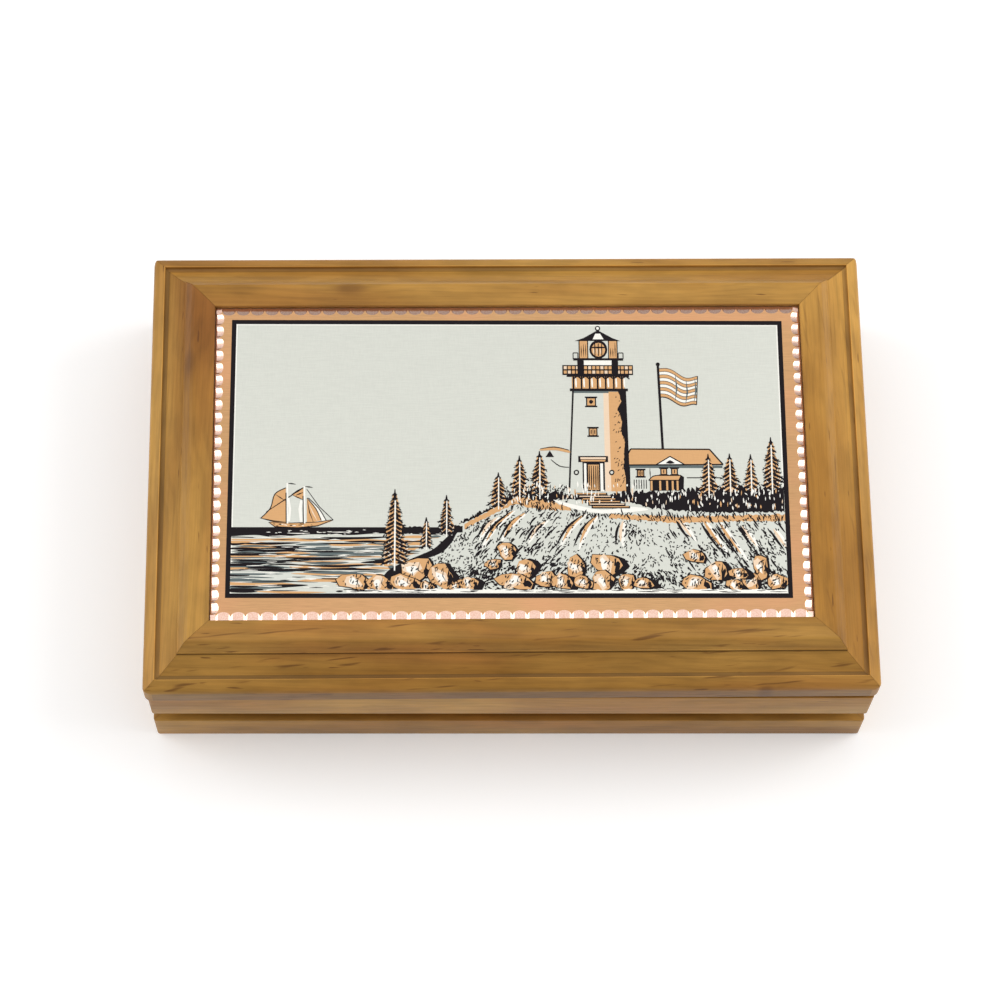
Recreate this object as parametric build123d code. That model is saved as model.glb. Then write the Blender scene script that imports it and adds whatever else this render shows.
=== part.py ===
from build123d import *
import os

os.makedirs("parts", exist_ok=True)

# A shallow hinged keepsake box: a pinned wooden carcass wears two applied strips, an upper
# band and a lower plinth with a shadow recess between them, and a mitred picture-frame lid
# holds an etched copper plate.  Millimetres.  +Z is up, the front faces -Y, and the origin
# is the middle of the underside of the body.

# ---- driving dimensions of the body ------------------------------------------------------
BODY_W = 207.96          # 8 3/16 in over the strips, left to right
BODY_D = 133.35          # 5 1/4 in, front to back
STRIP_T = 4.76           # thickness of the plinth and the band strips
PLINTH_H = 13.5          # plinth strip, standing on the table
BAND_BOTTOM = 20.5       # upper edge of the shadow recess
BAND_TOP = 36.0
WALL_T = 6.35            # carcass boards
CARCASS_TOP = 37.6       # the lid bears here, so the band shows a gap under the lid
CORNER_RABBET = 3.18     # step in the long boards that takes the short boards' ends
FLOOR_RABBET = 3.2       # step round the underside that takes the panel and the felt
FELT_T = 1.0
PANEL_T = 3.2
FLOOR_LINING_T = 2.0
BOARD_SLACK = 0.2        # around every panel in its rabbet
STRIP_CORNER_R = 1.0     # sanded corners of the strips
BRAD_R = 0.6             # brads through the long boards into the short boards' ends
BRAD_L = 16.0
BRAD_HEIGHTS = (10.0, 28.0)

# ---- driving dimensions of the lid -------------------------------------------------------
LID_W = 209.55           # 8 1/4 in
LID_D = 134.94           # 5 5/16 in
LID_UNDER = 37.8         # underside of the moulding
EDGE_Z = 45.0            # top of the moulding's upright edge
ARRIS = (3.5, 47.0)      # inner arris of the outer band: (distance in, height)
QUIRK = (4.7, 45.9)      # far side of the small groove behind it
COVE_MID = (7.5, 47.6)
COVE_END = (9.9, 49.5)
STEP_TOP = (10.0, 50.6)
RIDGE = (12.5, 53.95)
SIGHT = (19.0, 53.1)     # sight edge round the picture
RABBET_IN = 16.0         # wall of the rabbet under the sight edge
RABBET_Z = 51.4
LID_CORNER_R = 1.8
LID_SKEW = 0.4           # the lid sits this many degrees out of square on its hinges
LID_SHIFT = (-0.3, 0.1)  # and this far off the body's centre
PLATE_T = 0.8
PLATE_GAP = 0.3          # between the plate and the sight edge
BACKING_T = 3.2
LID_LINING_T = 1.3
POINT_T = 0.5            # glazier's points
POINT_OUT = 12.5         # the points run from inside the moulding ...
POINT_IN = 19.0          # ... to over the backing board
POINT_L = 8.0
POINTS_LONG = (-0.3, 0.0, 0.3)   # where they sit, as shares of a long rail's length
POINTS_SHORT = (-0.22, 0.22)
VNAIL_T = 0.5            # V-shaped nails across each mitre, from below
VNAIL_H = 8.0
VNAIL_LEG = 4.0
VNAIL_INSETS = (6.0, 11.5)       # from the lid's edges to each nail's corner

# ---- driving dimensions of the hinges ----------------------------------------------------
HINGE_X = 62.0           # each hinge's middle, either side of the centre
HINGE_L = 25.4
AXIS_Y = 66.2            # pin line
AXIS_Z = 36.9
PIN_R = 1.0
PIN_CLEARANCE = 0.05     # radial, in the lid's knuckles
KNUCKLE_R = 2.0
KNUCKLES = 5
KNUCKLE_GAP = 0.16
LEAF_T = 1.0
LEAF_W = 10.6            # from the pin line to the leaf's inner edge
LEAF_OFFSET = 0.5        # from the pin line to the leaf's nearer face
GAIN_SLACK = 0.15        # around each leaf in its mortise
NOTCH_R = 2.35           # hollow in the wood for the knuckles
GAIN_BEHIND = 2.0        # how far a mortise's tool runs out past the knuckles
OVERCUT = 1.0            # how far any other tool runs out of the wood that it cuts
KNUCKLE_CLEAR_H = 3.0    # half height of the slot that clears the other leaf's knuckle
SCREW_X = 8.2            # outer screws from the hinge's middle
SCREW_IN = 7.0           # screws from the pin line
SCREW_R = 0.8
SCREW_HEAD_R = 1.5
SCREW_HEAD_H = 0.7
BODY_SCREW_L = 9.0
LID_SCREW_L = 6.5


def block(low, high):
    """A box between two corners."""
    size = [b - a for a, b in zip(low, high)]
    mid = [(a + b) / 2 for a, b in zip(low, high)]
    return Pos(*mid) * Box(*size)


def rod(start, direction, radius, length):
    """A round rod from a point along a direction."""
    return extrude(Plane(start, z_dir=direction) * Circle(radius), length)


def group(solids):
    """Several separate solids carried as one node."""
    return Compound(children=[s.solid() for s in solids])


def trapezium(length, width, z_low, z_high):
    """A prism with 45 degree ends: long edge on y = 0, short edge at y = width."""
    half = length / 2
    outline = make_face(Polyline((-half, 0), (half, 0), (half - width, width),
                                 (-half + width, width), close=True))
    return Pos(0, 0, z_low) * extrude(outline, z_high - z_low)


def four_sides(across, deep):
    """Name, length, and placing of the four sides of a rectangle, long edges outwards."""
    return [("front", across, Pos(0, -deep / 2, 0)),
            ("right", deep, Rot(0, 0, 90) * Pos(0, -across / 2, 0)),
            ("back", across, Rot(0, 0, 180) * Pos(0, -deep / 2, 0)),
            ("left", deep, Rot(0, 0, 270) * Pos(0, -across / 2, 0))]


def rounded_prism(across, deep, radius, z_low, z_high):
    """An upright prism on a rectangle with rounded corners."""
    return Pos(0, 0, z_low) * extrude(RectangleRounded(across, deep, radius), z_high - z_low)


def cut(solid, *tools):
    """A solid with each tool taken away from it."""
    for tool in tools:
        solid = solid - tool
    return solid


nodes = {}

# ---- carcass ------------------------------------------------------------------------------
carcass_w = BODY_W - 2 * STRIP_T
carcass_d = BODY_D - 2 * STRIP_T
inner_w = carcass_w - 2 * WALL_T
inner_d = carcass_d - 2 * WALL_T
floor_top = FELT_T + PANEL_T
under_step = block((-inner_w / 2 - FLOOR_RABBET, -inner_d / 2 - FLOOR_RABBET, 0),
                   (inner_w / 2 + FLOOR_RABBET, inner_d / 2 + FLOOR_RABBET, floor_top))

brads = []
for side_x in (-1, 1):
    for side_y in (-1, 1):
        for height in BRAD_HEIGHTS:
            start = (side_x * (inner_w / 2 + WALL_T / 2), side_y * carcass_d / 2, height)
            brads.append(rod(start, (0, -side_y, 0), BRAD_R, BRAD_L))
nodes["carcass_brads"] = group(brads)

for name, side in (("front", -1), ("back", 1)):
    outer = side * carcass_d / 2
    inner = side * inner_d / 2
    board = block((-carcass_w / 2, min(outer, inner), 0),
                  (carcass_w / 2, max(outer, inner), CARCASS_TOP))
    for end in (-1, 1):
        near = side * (carcass_d / 2 - WALL_T + CORNER_RABBET)
        step_x = sorted((end * inner_w / 2, end * carcass_w / 2))
        step_y = sorted((inner, near))
        board = board - block((step_x[0], step_y[0], 0), (step_x[1], step_y[1], CARCASS_TOP))
    nodes["carcass_" + name] = cut(board, under_step, *brads)

end_y = carcass_d / 2 - WALL_T + CORNER_RABBET
for name, side in (("left", -1), ("right", 1)):
    walls = sorted((side * inner_w / 2, side * carcass_w / 2))
    board = block((walls[0], -end_y, 0), (walls[1], end_y, CARCASS_TOP))
    nodes["carcass_" + name] = cut(board, under_step, *brads)

panel_x = inner_w / 2 + FLOOR_RABBET - BOARD_SLACK
panel_y = inner_d / 2 + FLOOR_RABBET - BOARD_SLACK
nodes["bottom_panel"] = block((-panel_x, -panel_y, FELT_T), (panel_x, panel_y, floor_top))
nodes["underside_felt"] = block((-panel_x, -panel_y, 0), (panel_x, panel_y, FELT_T))

lining_x = inner_w / 2 - BOARD_SLACK
lining_y = inner_d / 2 - BOARD_SLACK
nodes["floor_lining"] = block((-lining_x, -lining_y, floor_top),
                              (lining_x, lining_y, floor_top + FLOOR_LINING_T))

# ---- plinth and band: mitred strips glued round the carcass -------------------------------
strip_outline = rounded_prism(BODY_W, BODY_D, STRIP_CORNER_R, 0, CARCASS_TOP)
for name, length, place in four_sides(BODY_W, BODY_D):
    plinth = place * trapezium(length, STRIP_T, 0, PLINTH_H)
    band = place * trapezium(length, STRIP_T, BAND_BOTTOM, BAND_TOP)
    nodes["plinth_" + name] = plinth & strip_outline
    nodes["band_" + name] = band & strip_outline

# ---- lid moulding ---------------------------------------------------------------------------
lid_place = Pos(LID_SHIFT[0], LID_SHIFT[1], 0) * Rot(0, 0, LID_SKEW)
QUIRK_FLOOR = (ARRIS[0] + 0.1, QUIRK[1])
section = [((0, LID_UNDER), 0.4), ((0, EDGE_Z), 1.2), (ARRIS, 0.25), (QUIRK_FLOOR, 0.15),
           (QUIRK, 0.25), (COVE_MID, 6.0), (COVE_END, 0.15), (STEP_TOP, 0.3), (RIDGE, 0.6),
           (SIGHT, 0.25), ((SIGHT[0], RABBET_Z), 0.1), ((RABBET_IN, RABBET_Z), 0.1),
           ((RABBET_IN, LID_UNDER), 0.4)]
section_line = FilletPolyline(*[p for p, r in section], radius=[r for p, r in section],
                              close=True)
section_face = make_face(section_line)
lid_top = RIDGE[1] + OVERCUT

vnails = []
for side_x in (-1, 1):
    for side_y in (-1, 1):
        for inward in VNAIL_INSETS:
            corner = (side_x * (LID_W / 2 - inward), side_y * (LID_D / 2 - inward))
            legs = []
            for reach_x, reach_y in ((VNAIL_LEG, VNAIL_T), (VNAIL_T, VNAIL_LEG)):
                xs = sorted((corner[0], corner[0] - side_x * reach_x))
                ys = sorted((corner[1], corner[1] - side_y * reach_y))
                legs.append(block((xs[0], ys[0], LID_UNDER),
                                  (xs[1], ys[1], LID_UNDER + VNAIL_H)))
            vnails.append(lid_place * (legs[0] + legs[1]))
nodes["lid_corner_vnails"] = group(vnails)

backing_low = RABBET_Z - BACKING_T
points = []
for name, length, place in four_sides(LID_W, LID_D):
    stations = POINTS_LONG if length == LID_W else POINTS_SHORT
    for share in stations:
        plate = block((share * length - POINT_L / 2, POINT_OUT, backing_low - POINT_T),
                      (share * length + POINT_L / 2, POINT_IN, backing_low))
        points.append(lid_place * place * plate)
nodes["backing_points"] = group(points)

# ---- hinges: the parts that the wood is cut for ---------------------------------------------
hinge_mids = {"left": -HINGE_X, "right": HINGE_X}


def notch(mid_x):
    """The hollow along one hinge that leaves room for its knuckles."""
    length = HINGE_L + 2 * GAIN_SLACK
    return rod((mid_x - length / 2, AXIS_Y, AXIS_Z), (1, 0, 0), NOTCH_R, length)


def gain(mid_x, z_low, z_high):
    """The shallow mortise that a leaf lies in."""
    half = HINGE_L / 2 + GAIN_SLACK
    return block((mid_x - half, AXIS_Y - LEAF_W - GAIN_SLACK, z_low),
                 (mid_x + half, AXIS_Y + KNUCKLE_R + GAIN_BEHIND, z_high))


def screw(x, start_z, side, length):
    """A countersunk wood screw, head flush with z = start_z, driven down or up."""
    y = AXIS_Y - SCREW_IN
    shank = rod((x, y, start_z), (0, 0, side), SCREW_R, length - 2 * SCREW_R)
    tip_start = start_z + side * (length - 2 * SCREW_R)
    head = extrude(Plane((x, y, start_z), z_dir=(0, 0, side)) * Circle(SCREW_HEAD_R),
                   SCREW_HEAD_H, taper=45)
    tip = extrude(Plane((x, y, tip_start), z_dir=(0, 0, side)) * Circle(SCREW_R),
                  2 * SCREW_R, taper=20)
    return shank + head + tip


def leaf(mid_x, side, own_knuckles, bore_r):
    """One hinge leaf: side -1 lies below the pin line, +1 above it."""
    pitch = HINGE_L / KNUCKLES
    zs = sorted((AXIS_Z + side * LEAF_OFFSET, AXIS_Z + side * (LEAF_OFFSET + LEAF_T)))
    low_x = mid_x - HINGE_L / 2
    shape = block((low_x, AXIS_Y - LEAF_W, zs[0]), (low_x + HINGE_L, AXIS_Y, zs[1]))
    for index in range(KNUCKLES):
        start = low_x + index * pitch
        if index in own_knuckles:
            barrel_low = (start + KNUCKLE_GAP / 2, AXIS_Y, AXIS_Z)
            shape = shape + rod(barrel_low, (1, 0, 0), KNUCKLE_R, pitch - KNUCKLE_GAP)
        else:
            clear = KNUCKLE_R + KNUCKLE_GAP
            shape = shape - block((start - KNUCKLE_GAP / 2, AXIS_Y - clear,
                                   AXIS_Z - KNUCKLE_CLEAR_H),
                                  (start + pitch + KNUCKLE_GAP / 2, AXIS_Y + clear,
                                   AXIS_Z + KNUCKLE_CLEAR_H))
    return shape - rod((low_x - OVERCUT, AXIS_Y, AXIS_Z), (1, 0, 0), bore_r,
                       HINGE_L + 2 * OVERCUT)


body_leaf_low = AXIS_Z - LEAF_OFFSET - LEAF_T
lid_leaf_high = AXIS_Z + LEAF_OFFSET + LEAF_T
body_screws = []
lid_screws = []
for name, mid_x in hinge_mids.items():
    for x in (mid_x - SCREW_X, mid_x, mid_x + SCREW_X):
        body_screws.append(screw(x, AXIS_Z - LEAF_OFFSET, -1, BODY_SCREW_L))
        lid_screws.append(screw(x, AXIS_Z + LEAF_OFFSET, 1, LID_SCREW_L))
nodes["body_hinge_screws"] = group(body_screws)
nodes["lid_hinge_screws"] = group(lid_screws)

for name, mid_x in hinge_mids.items():
    lower = leaf(mid_x, -1, (0, 2, 4), PIN_R)
    upper = leaf(mid_x, 1, (1, 3), PIN_R + PIN_CLEARANCE)
    nodes["hinge_%s_body_leaf" % name] = cut(lower, *body_screws)
    nodes["hinge_%s_lid_leaf" % name] = cut(upper, *lid_screws)
    nodes["hinge_%s_pin" % name] = rod((mid_x - HINGE_L / 2, AXIS_Y, AXIS_Z), (1, 0, 0),
                                       PIN_R, HINGE_L)

# ---- the wood cut for the hinges --------------------------------------------------------------
notches = [notch(x) for x in hinge_mids.values()]
body_gains = [gain(x, body_leaf_low, CARCASS_TOP + OVERCUT) for x in hinge_mids.values()]
lid_gains = [gain(x, LID_UNDER - OVERCUT, lid_leaf_high) for x in hinge_mids.values()]
nodes["carcass_back"] = cut(nodes["carcass_back"], *body_gains, *notches, *body_screws)
nodes["band_back"] = cut(nodes["band_back"], *body_gains, *notches)

lid_outline = rounded_prism(LID_W, LID_D, LID_CORNER_R, LID_UNDER, lid_top)
for name, length, place in four_sides(LID_W, LID_D):
    # the section is drawn as (distance in, height), so its plane's x runs along +Y
    stock = extrude(Plane((-length / 2, 0, 0), x_dir=(0, 1, 0), z_dir=(1, 0, 0))
                    * section_face, length)
    rail = stock & trapezium(length, SIGHT[0] + OVERCUT, LID_UNDER, lid_top)
    rail = lid_place * ((place * rail) & lid_outline)
    rail = cut(rail, *vnails, *points)
    if name == "back":
        rail = cut(rail, *lid_gains, *notches, *lid_screws)
    nodes["lid_rail_" + name] = rail

# ---- what the moulding holds -------------------------------------------------------------------
plate_x = LID_W / 2 - SIGHT[0] - PLATE_GAP
plate_y = LID_D / 2 - SIGHT[0] - PLATE_GAP
nodes["copper_plate"] = lid_place * block((-plate_x, -plate_y, RABBET_Z),
                                          (plate_x, plate_y, RABBET_Z + PLATE_T))
backing_x = LID_W / 2 - RABBET_IN - BOARD_SLACK
backing_y = LID_D / 2 - RABBET_IN - BOARD_SLACK
nodes["backing_board"] = lid_place * block((-backing_x, -backing_y, backing_low),
                                           (backing_x, backing_y, RABBET_Z))
lining_top = backing_low - POINT_T
nodes["lid_lining"] = lid_place * block((-backing_x, -backing_y, lining_top - LID_LINING_T),
                                        (backing_x, backing_y, lining_top))

for node, shape in nodes.items():
    shape.label = node
    export_step(shape, os.path.join("parts", node + ".step"))
print(len(nodes), "nodes written")
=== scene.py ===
# %% [markdown]
# # A hinged keepsake box with an etched copper picture in its lid
# The box is already designed and packed as a fixed frame of solids. This lesson builds what the
# eye sees around that frame: moulded wood with a lacquered grain, a copper plate with a
# diamond-cut edge and an etched picture, brass hinges and a velvet lining. The first step loads
# the frame, and gives helpers that measure its solids and hang new pieces on its bodies.

# %% Load the frame
import math
import random

import bmesh
import bpy
from mathutils import Matrix, Vector


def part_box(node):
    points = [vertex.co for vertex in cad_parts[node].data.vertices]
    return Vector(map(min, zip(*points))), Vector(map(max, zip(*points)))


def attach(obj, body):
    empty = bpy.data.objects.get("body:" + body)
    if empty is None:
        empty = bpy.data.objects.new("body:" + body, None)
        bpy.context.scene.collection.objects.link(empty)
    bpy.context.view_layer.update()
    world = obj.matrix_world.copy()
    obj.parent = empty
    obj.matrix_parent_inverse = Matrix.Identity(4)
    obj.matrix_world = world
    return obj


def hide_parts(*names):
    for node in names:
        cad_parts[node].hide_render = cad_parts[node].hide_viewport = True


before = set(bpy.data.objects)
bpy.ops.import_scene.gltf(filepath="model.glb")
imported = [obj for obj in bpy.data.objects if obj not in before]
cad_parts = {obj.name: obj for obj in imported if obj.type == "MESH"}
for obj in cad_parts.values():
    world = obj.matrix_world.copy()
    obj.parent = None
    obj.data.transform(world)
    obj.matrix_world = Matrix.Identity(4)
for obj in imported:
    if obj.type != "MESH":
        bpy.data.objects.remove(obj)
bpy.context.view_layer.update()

MM = 0.001

# %% [markdown]
# The lid sits a fraction of a degree out of square on its hinges. Pieces of the lid are easiest
# to model square to their own middle, so this step measures how the lid lies: the lowest corner
# in Y and the furthest corner in X of the flat copper plate are the two ends of its front edge.

# %% Find how the lid lies on the body
plate_points = [v.co.copy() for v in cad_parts["copper_plate"].data.vertices]
front_left = min(plate_points, key=lambda p: p.y)
front_right = max(plate_points, key=lambda p: p.x)
plate_middle = sum(plate_points, Vector()) / len(plate_points)
lid_turn = math.atan2(front_right.y - front_left.y, front_right.x - front_left.x)
lid_place = Matrix.Translation((plate_middle.x, plate_middle.y, 0)) @ Matrix.Rotation(lid_turn, 4, "Z")
lid_square = lid_place.inverted()


def lid_box(node):
    """Lowest and highest corner of a lid node, measured square to the lid."""
    points = [lid_square @ v.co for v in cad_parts[node].data.vertices]
    low = Vector([min(p[i] for p in points) for i in range(3)])
    high = Vector([max(p[i] for p in points) for i in range(3)])
    return low, high


lid_half = Vector((lid_box("lid_rail_right")[1].x, lid_box("lid_rail_back")[1].y))
print("lid turned %.2f degrees, half size mm %.2f x %.2f"
      % (math.degrees(lid_turn), lid_half.x / MM, lid_half.y / MM))

# %% [markdown]
# Product pictures of a box like this are taken with a long lens from high in front, which keeps
# the sides nearly parallel. The camera is set by an azimuth, an elevation and a distance from a
# point in the box, and a roll that levels the front edge. A matrix built from the three view
# axes places it in one step.

# %% Camera
VIEW_AZIMUTH = math.radians(-3.335)
VIEW_ELEVATION = math.radians(69.274)
VIEW_ROLL = math.radians(3.197)
VIEW_DISTANCE = 0.92807
VIEW_TARGET = Vector((-2.602, -0.137, 20.0)) * MM
LENS_MM = 112.12
SENSOR_MM = 36
NEAREST = 0.05

back = Vector((math.sin(VIEW_AZIMUTH) * math.cos(VIEW_ELEVATION),
               -math.cos(VIEW_AZIMUTH) * math.cos(VIEW_ELEVATION), math.sin(VIEW_ELEVATION)))
level = Vector((math.cos(VIEW_AZIMUTH), math.sin(VIEW_AZIMUTH), 0))
upward = back.cross(level)
view_right = math.cos(VIEW_ROLL) * level + math.sin(VIEW_ROLL) * upward
view_up = math.cos(VIEW_ROLL) * upward - math.sin(VIEW_ROLL) * level
camera_data = bpy.data.cameras.new("camera")
camera_data.lens = LENS_MM
camera_data.sensor_width = SENSOR_MM
camera_data.clip_start = NEAREST
camera = bpy.data.objects.new("camera", camera_data)
bpy.context.scene.collection.objects.link(camera)
turn = Matrix((view_right, view_up, back)).transposed().to_4x4()
camera.matrix_world = Matrix.Translation(VIEW_TARGET + back * VIEW_DISTANCE) @ turn
bpy.context.scene.camera = camera
bpy.context.scene.view_settings.view_transform = "Standard"
print("camera at mm", [round(c / MM) for c in camera.location])

# %% [markdown]
# Soft, even light suits lacquer and polished metal, because they show what surrounds them. One
# wide panel hangs above and behind, where the flat plate mirrors it to the camera, and one panel
# stands on each side for the slanting facets at the plate's edge. A pale world fills the shadows,
# and so does the pale floor that the last steps add.

# %% Light
WORLD_STRENGTH = 0.38


def panel_light(name, place, aim, size, power):
    """A rectangular soft light that faces a point."""
    data = bpy.data.lights.new(name, "AREA")
    data.shape = "RECTANGLE"
    data.size, data.size_y = size
    data.energy = power
    lamp = bpy.data.objects.new(name, data)
    bpy.context.scene.collection.objects.link(lamp)
    lamp.location = place
    lamp.rotation_euler = (Vector(place) - Vector(aim)).to_track_quat("Z", "Y").to_euler()
    print(name, "watts:", power)


panel_light("light_above", (0.0, 0.28, 1.15), (0, 0.28, 0), (1.7, 1.7), 6.2)
panel_light("light_left", (-0.85, 0.10, 0.72), (0, 0, 0.03), (0.7, 0.9), 4.4)
panel_light("light_right", (0.85, 0.10, 0.72), (0, 0, 0.03), (0.7, 0.9), 5.4)

world = bpy.data.worlds.new("studio")
bpy.context.scene.world = world
world.use_nodes = True
sky = world.node_tree.nodes["Background"].inputs
sky["Color"].default_value = (1.0, 1.0, 1.0, 1)
sky["Strength"].default_value = WORLD_STRENGTH

# %% [markdown]
# Every finish here is a small node graph under one Principled shader. Two helpers keep the
# graphs readable: one starts a finish, and one adds a node and either sets or links each input.

# %% Helpers for finishes


def start_finish(name):
    """A new material with an empty graph, and its shader joined to the output."""
    material = bpy.data.materials.new(name)
    material.use_nodes = True
    tree = material.node_tree
    tree.nodes.clear()
    shader = tree.nodes.new("ShaderNodeBsdfPrincipled")
    output = tree.nodes.new("ShaderNodeOutputMaterial")
    tree.links.new(shader.outputs["BSDF"], output.inputs["Surface"])
    return material, tree, shader


def put(tree, node, values):
    """Sets a node's inputs: a socket is linked, and anything else is its value."""
    for key, value in values.items():
        if isinstance(value, bpy.types.NodeSocket):
            tree.links.new(value, node.inputs[key])
        else:
            node.inputs[key].default_value = value
    return node


def add(tree, kind, values, **settings):
    """A new shader node with its settings and inputs."""
    node = tree.nodes.new("ShaderNode" + kind)
    for key, value in settings.items():
        setattr(node, key, value)
    return put(tree, node, values)


def stretched(tree, scale, shift=(0, 0, 0), turn=(0, 0, 0)):
    """Object coordinates in metres, turned, moved and stretched for one pattern."""
    where = add(tree, "TexCoord", {})
    return add(tree, "Mapping", {"Vector": where.outputs["Object"], "Scale": scale,
                                 "Location": shift, "Rotation": turn}).outputs[0]


def noise(tree, where, detail=2.0, rough=0.5, warp=0.0):
    """Soft cloudy noise of unit scale on already stretched coordinates."""
    node = add(tree, "TexNoise", {"Vector": where, "Scale": 1.0, "Detail": detail,
                                  "Roughness": rough, "Distortion": warp})
    return node.outputs["Fac"]


def math_node(tree, operation, a, b=0.0):
    """One step of arithmetic between sockets or numbers."""
    return add(tree, "Math", {0: a, 1: b}, operation=operation).outputs[0]


def between(tree, value, low, high, to_low=0.0, to_high=1.0):
    """A value in one range mapped smoothly onto another, and held at its ends."""
    return add(tree, "MapRange", {"Value": value, "From Min": low, "From Max": high,
                                  "To Min": to_low, "To Max": to_high},
               interpolation_type="SMOOTHSTEP").outputs[0]


def blend_colours(tree, factor, a, b, kind="MIX"):
    """Two colours mixed by a factor."""
    node = tree.nodes.new("ShaderNodeMix")
    node.data_type = "RGBA"
    node.blend_type = kind
    for key, value in ((0, factor), (6, a), (7, b)):
        if isinstance(value, bpy.types.NodeSocket):
            tree.links.new(value, node.inputs[key])
        else:
            node.inputs[key].default_value = value
    return node.outputs[2]


def grey(tree, value):
    """A number turned into a grey colour."""
    return add(tree, "CombineColor", {0: value, 1: value, 2: value}).outputs[0]


def bump(tree, shader, height, distance, strength=1.0):
    """Fine relief from a height value."""
    node = add(tree, "Bump", {"Height": height, "Distance": distance, "Strength": strength})
    tree.links.new(node.outputs[0], shader.inputs["Normal"])


print("helpers ready: a finish is start_finish, some patterns, and put on its shader")

# %% [markdown]
# The wood is a honey-coloured softwood under satin lacquer. Its pattern has parts of very
# different size: slow drifts of colour, growth rings a few millimetres apart that bend round old
# knots, fibres a tenth of a millimetre wide, mottling, a few dark flecks and pin holes, short
# dark marks that slant across the grain, and ovals of darker, redder painted shade. Each is noise
# on coordinates stretched along the grain. Rings come from a sine of the cross-grain distance plus
# a slow noise, so they curve. Each board gets its own offset, or the grain would run on through
# the mitres. A face attribute paints light into the colour. It puts painted highlights on arrises,
# over a little real wear, and painted shade in grooves and on upright faces, over a little real
# stain. Each board's light factor is partly its own paleness and partly painted light and shade.

# %% Wood finish
PALE = (0.500, 0.267, 0.058, 1)
DEEP = (0.300, 0.135, 0.021, 1)
RUDDY = (0.400, 0.165, 0.034, 1)
# The dark red of the ovals of painted shade:
PAINTED_SHADE_RED = (0.235, 0.080, 0.014, 1)
DARK_FLECK = (0.115, 0.042, 0.010, 1)
SLASH_ANGLE = 9
PATCH_LONG = 2.6
RINGS_PER_METRE = 2200
LACQUER = 0.10


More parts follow.
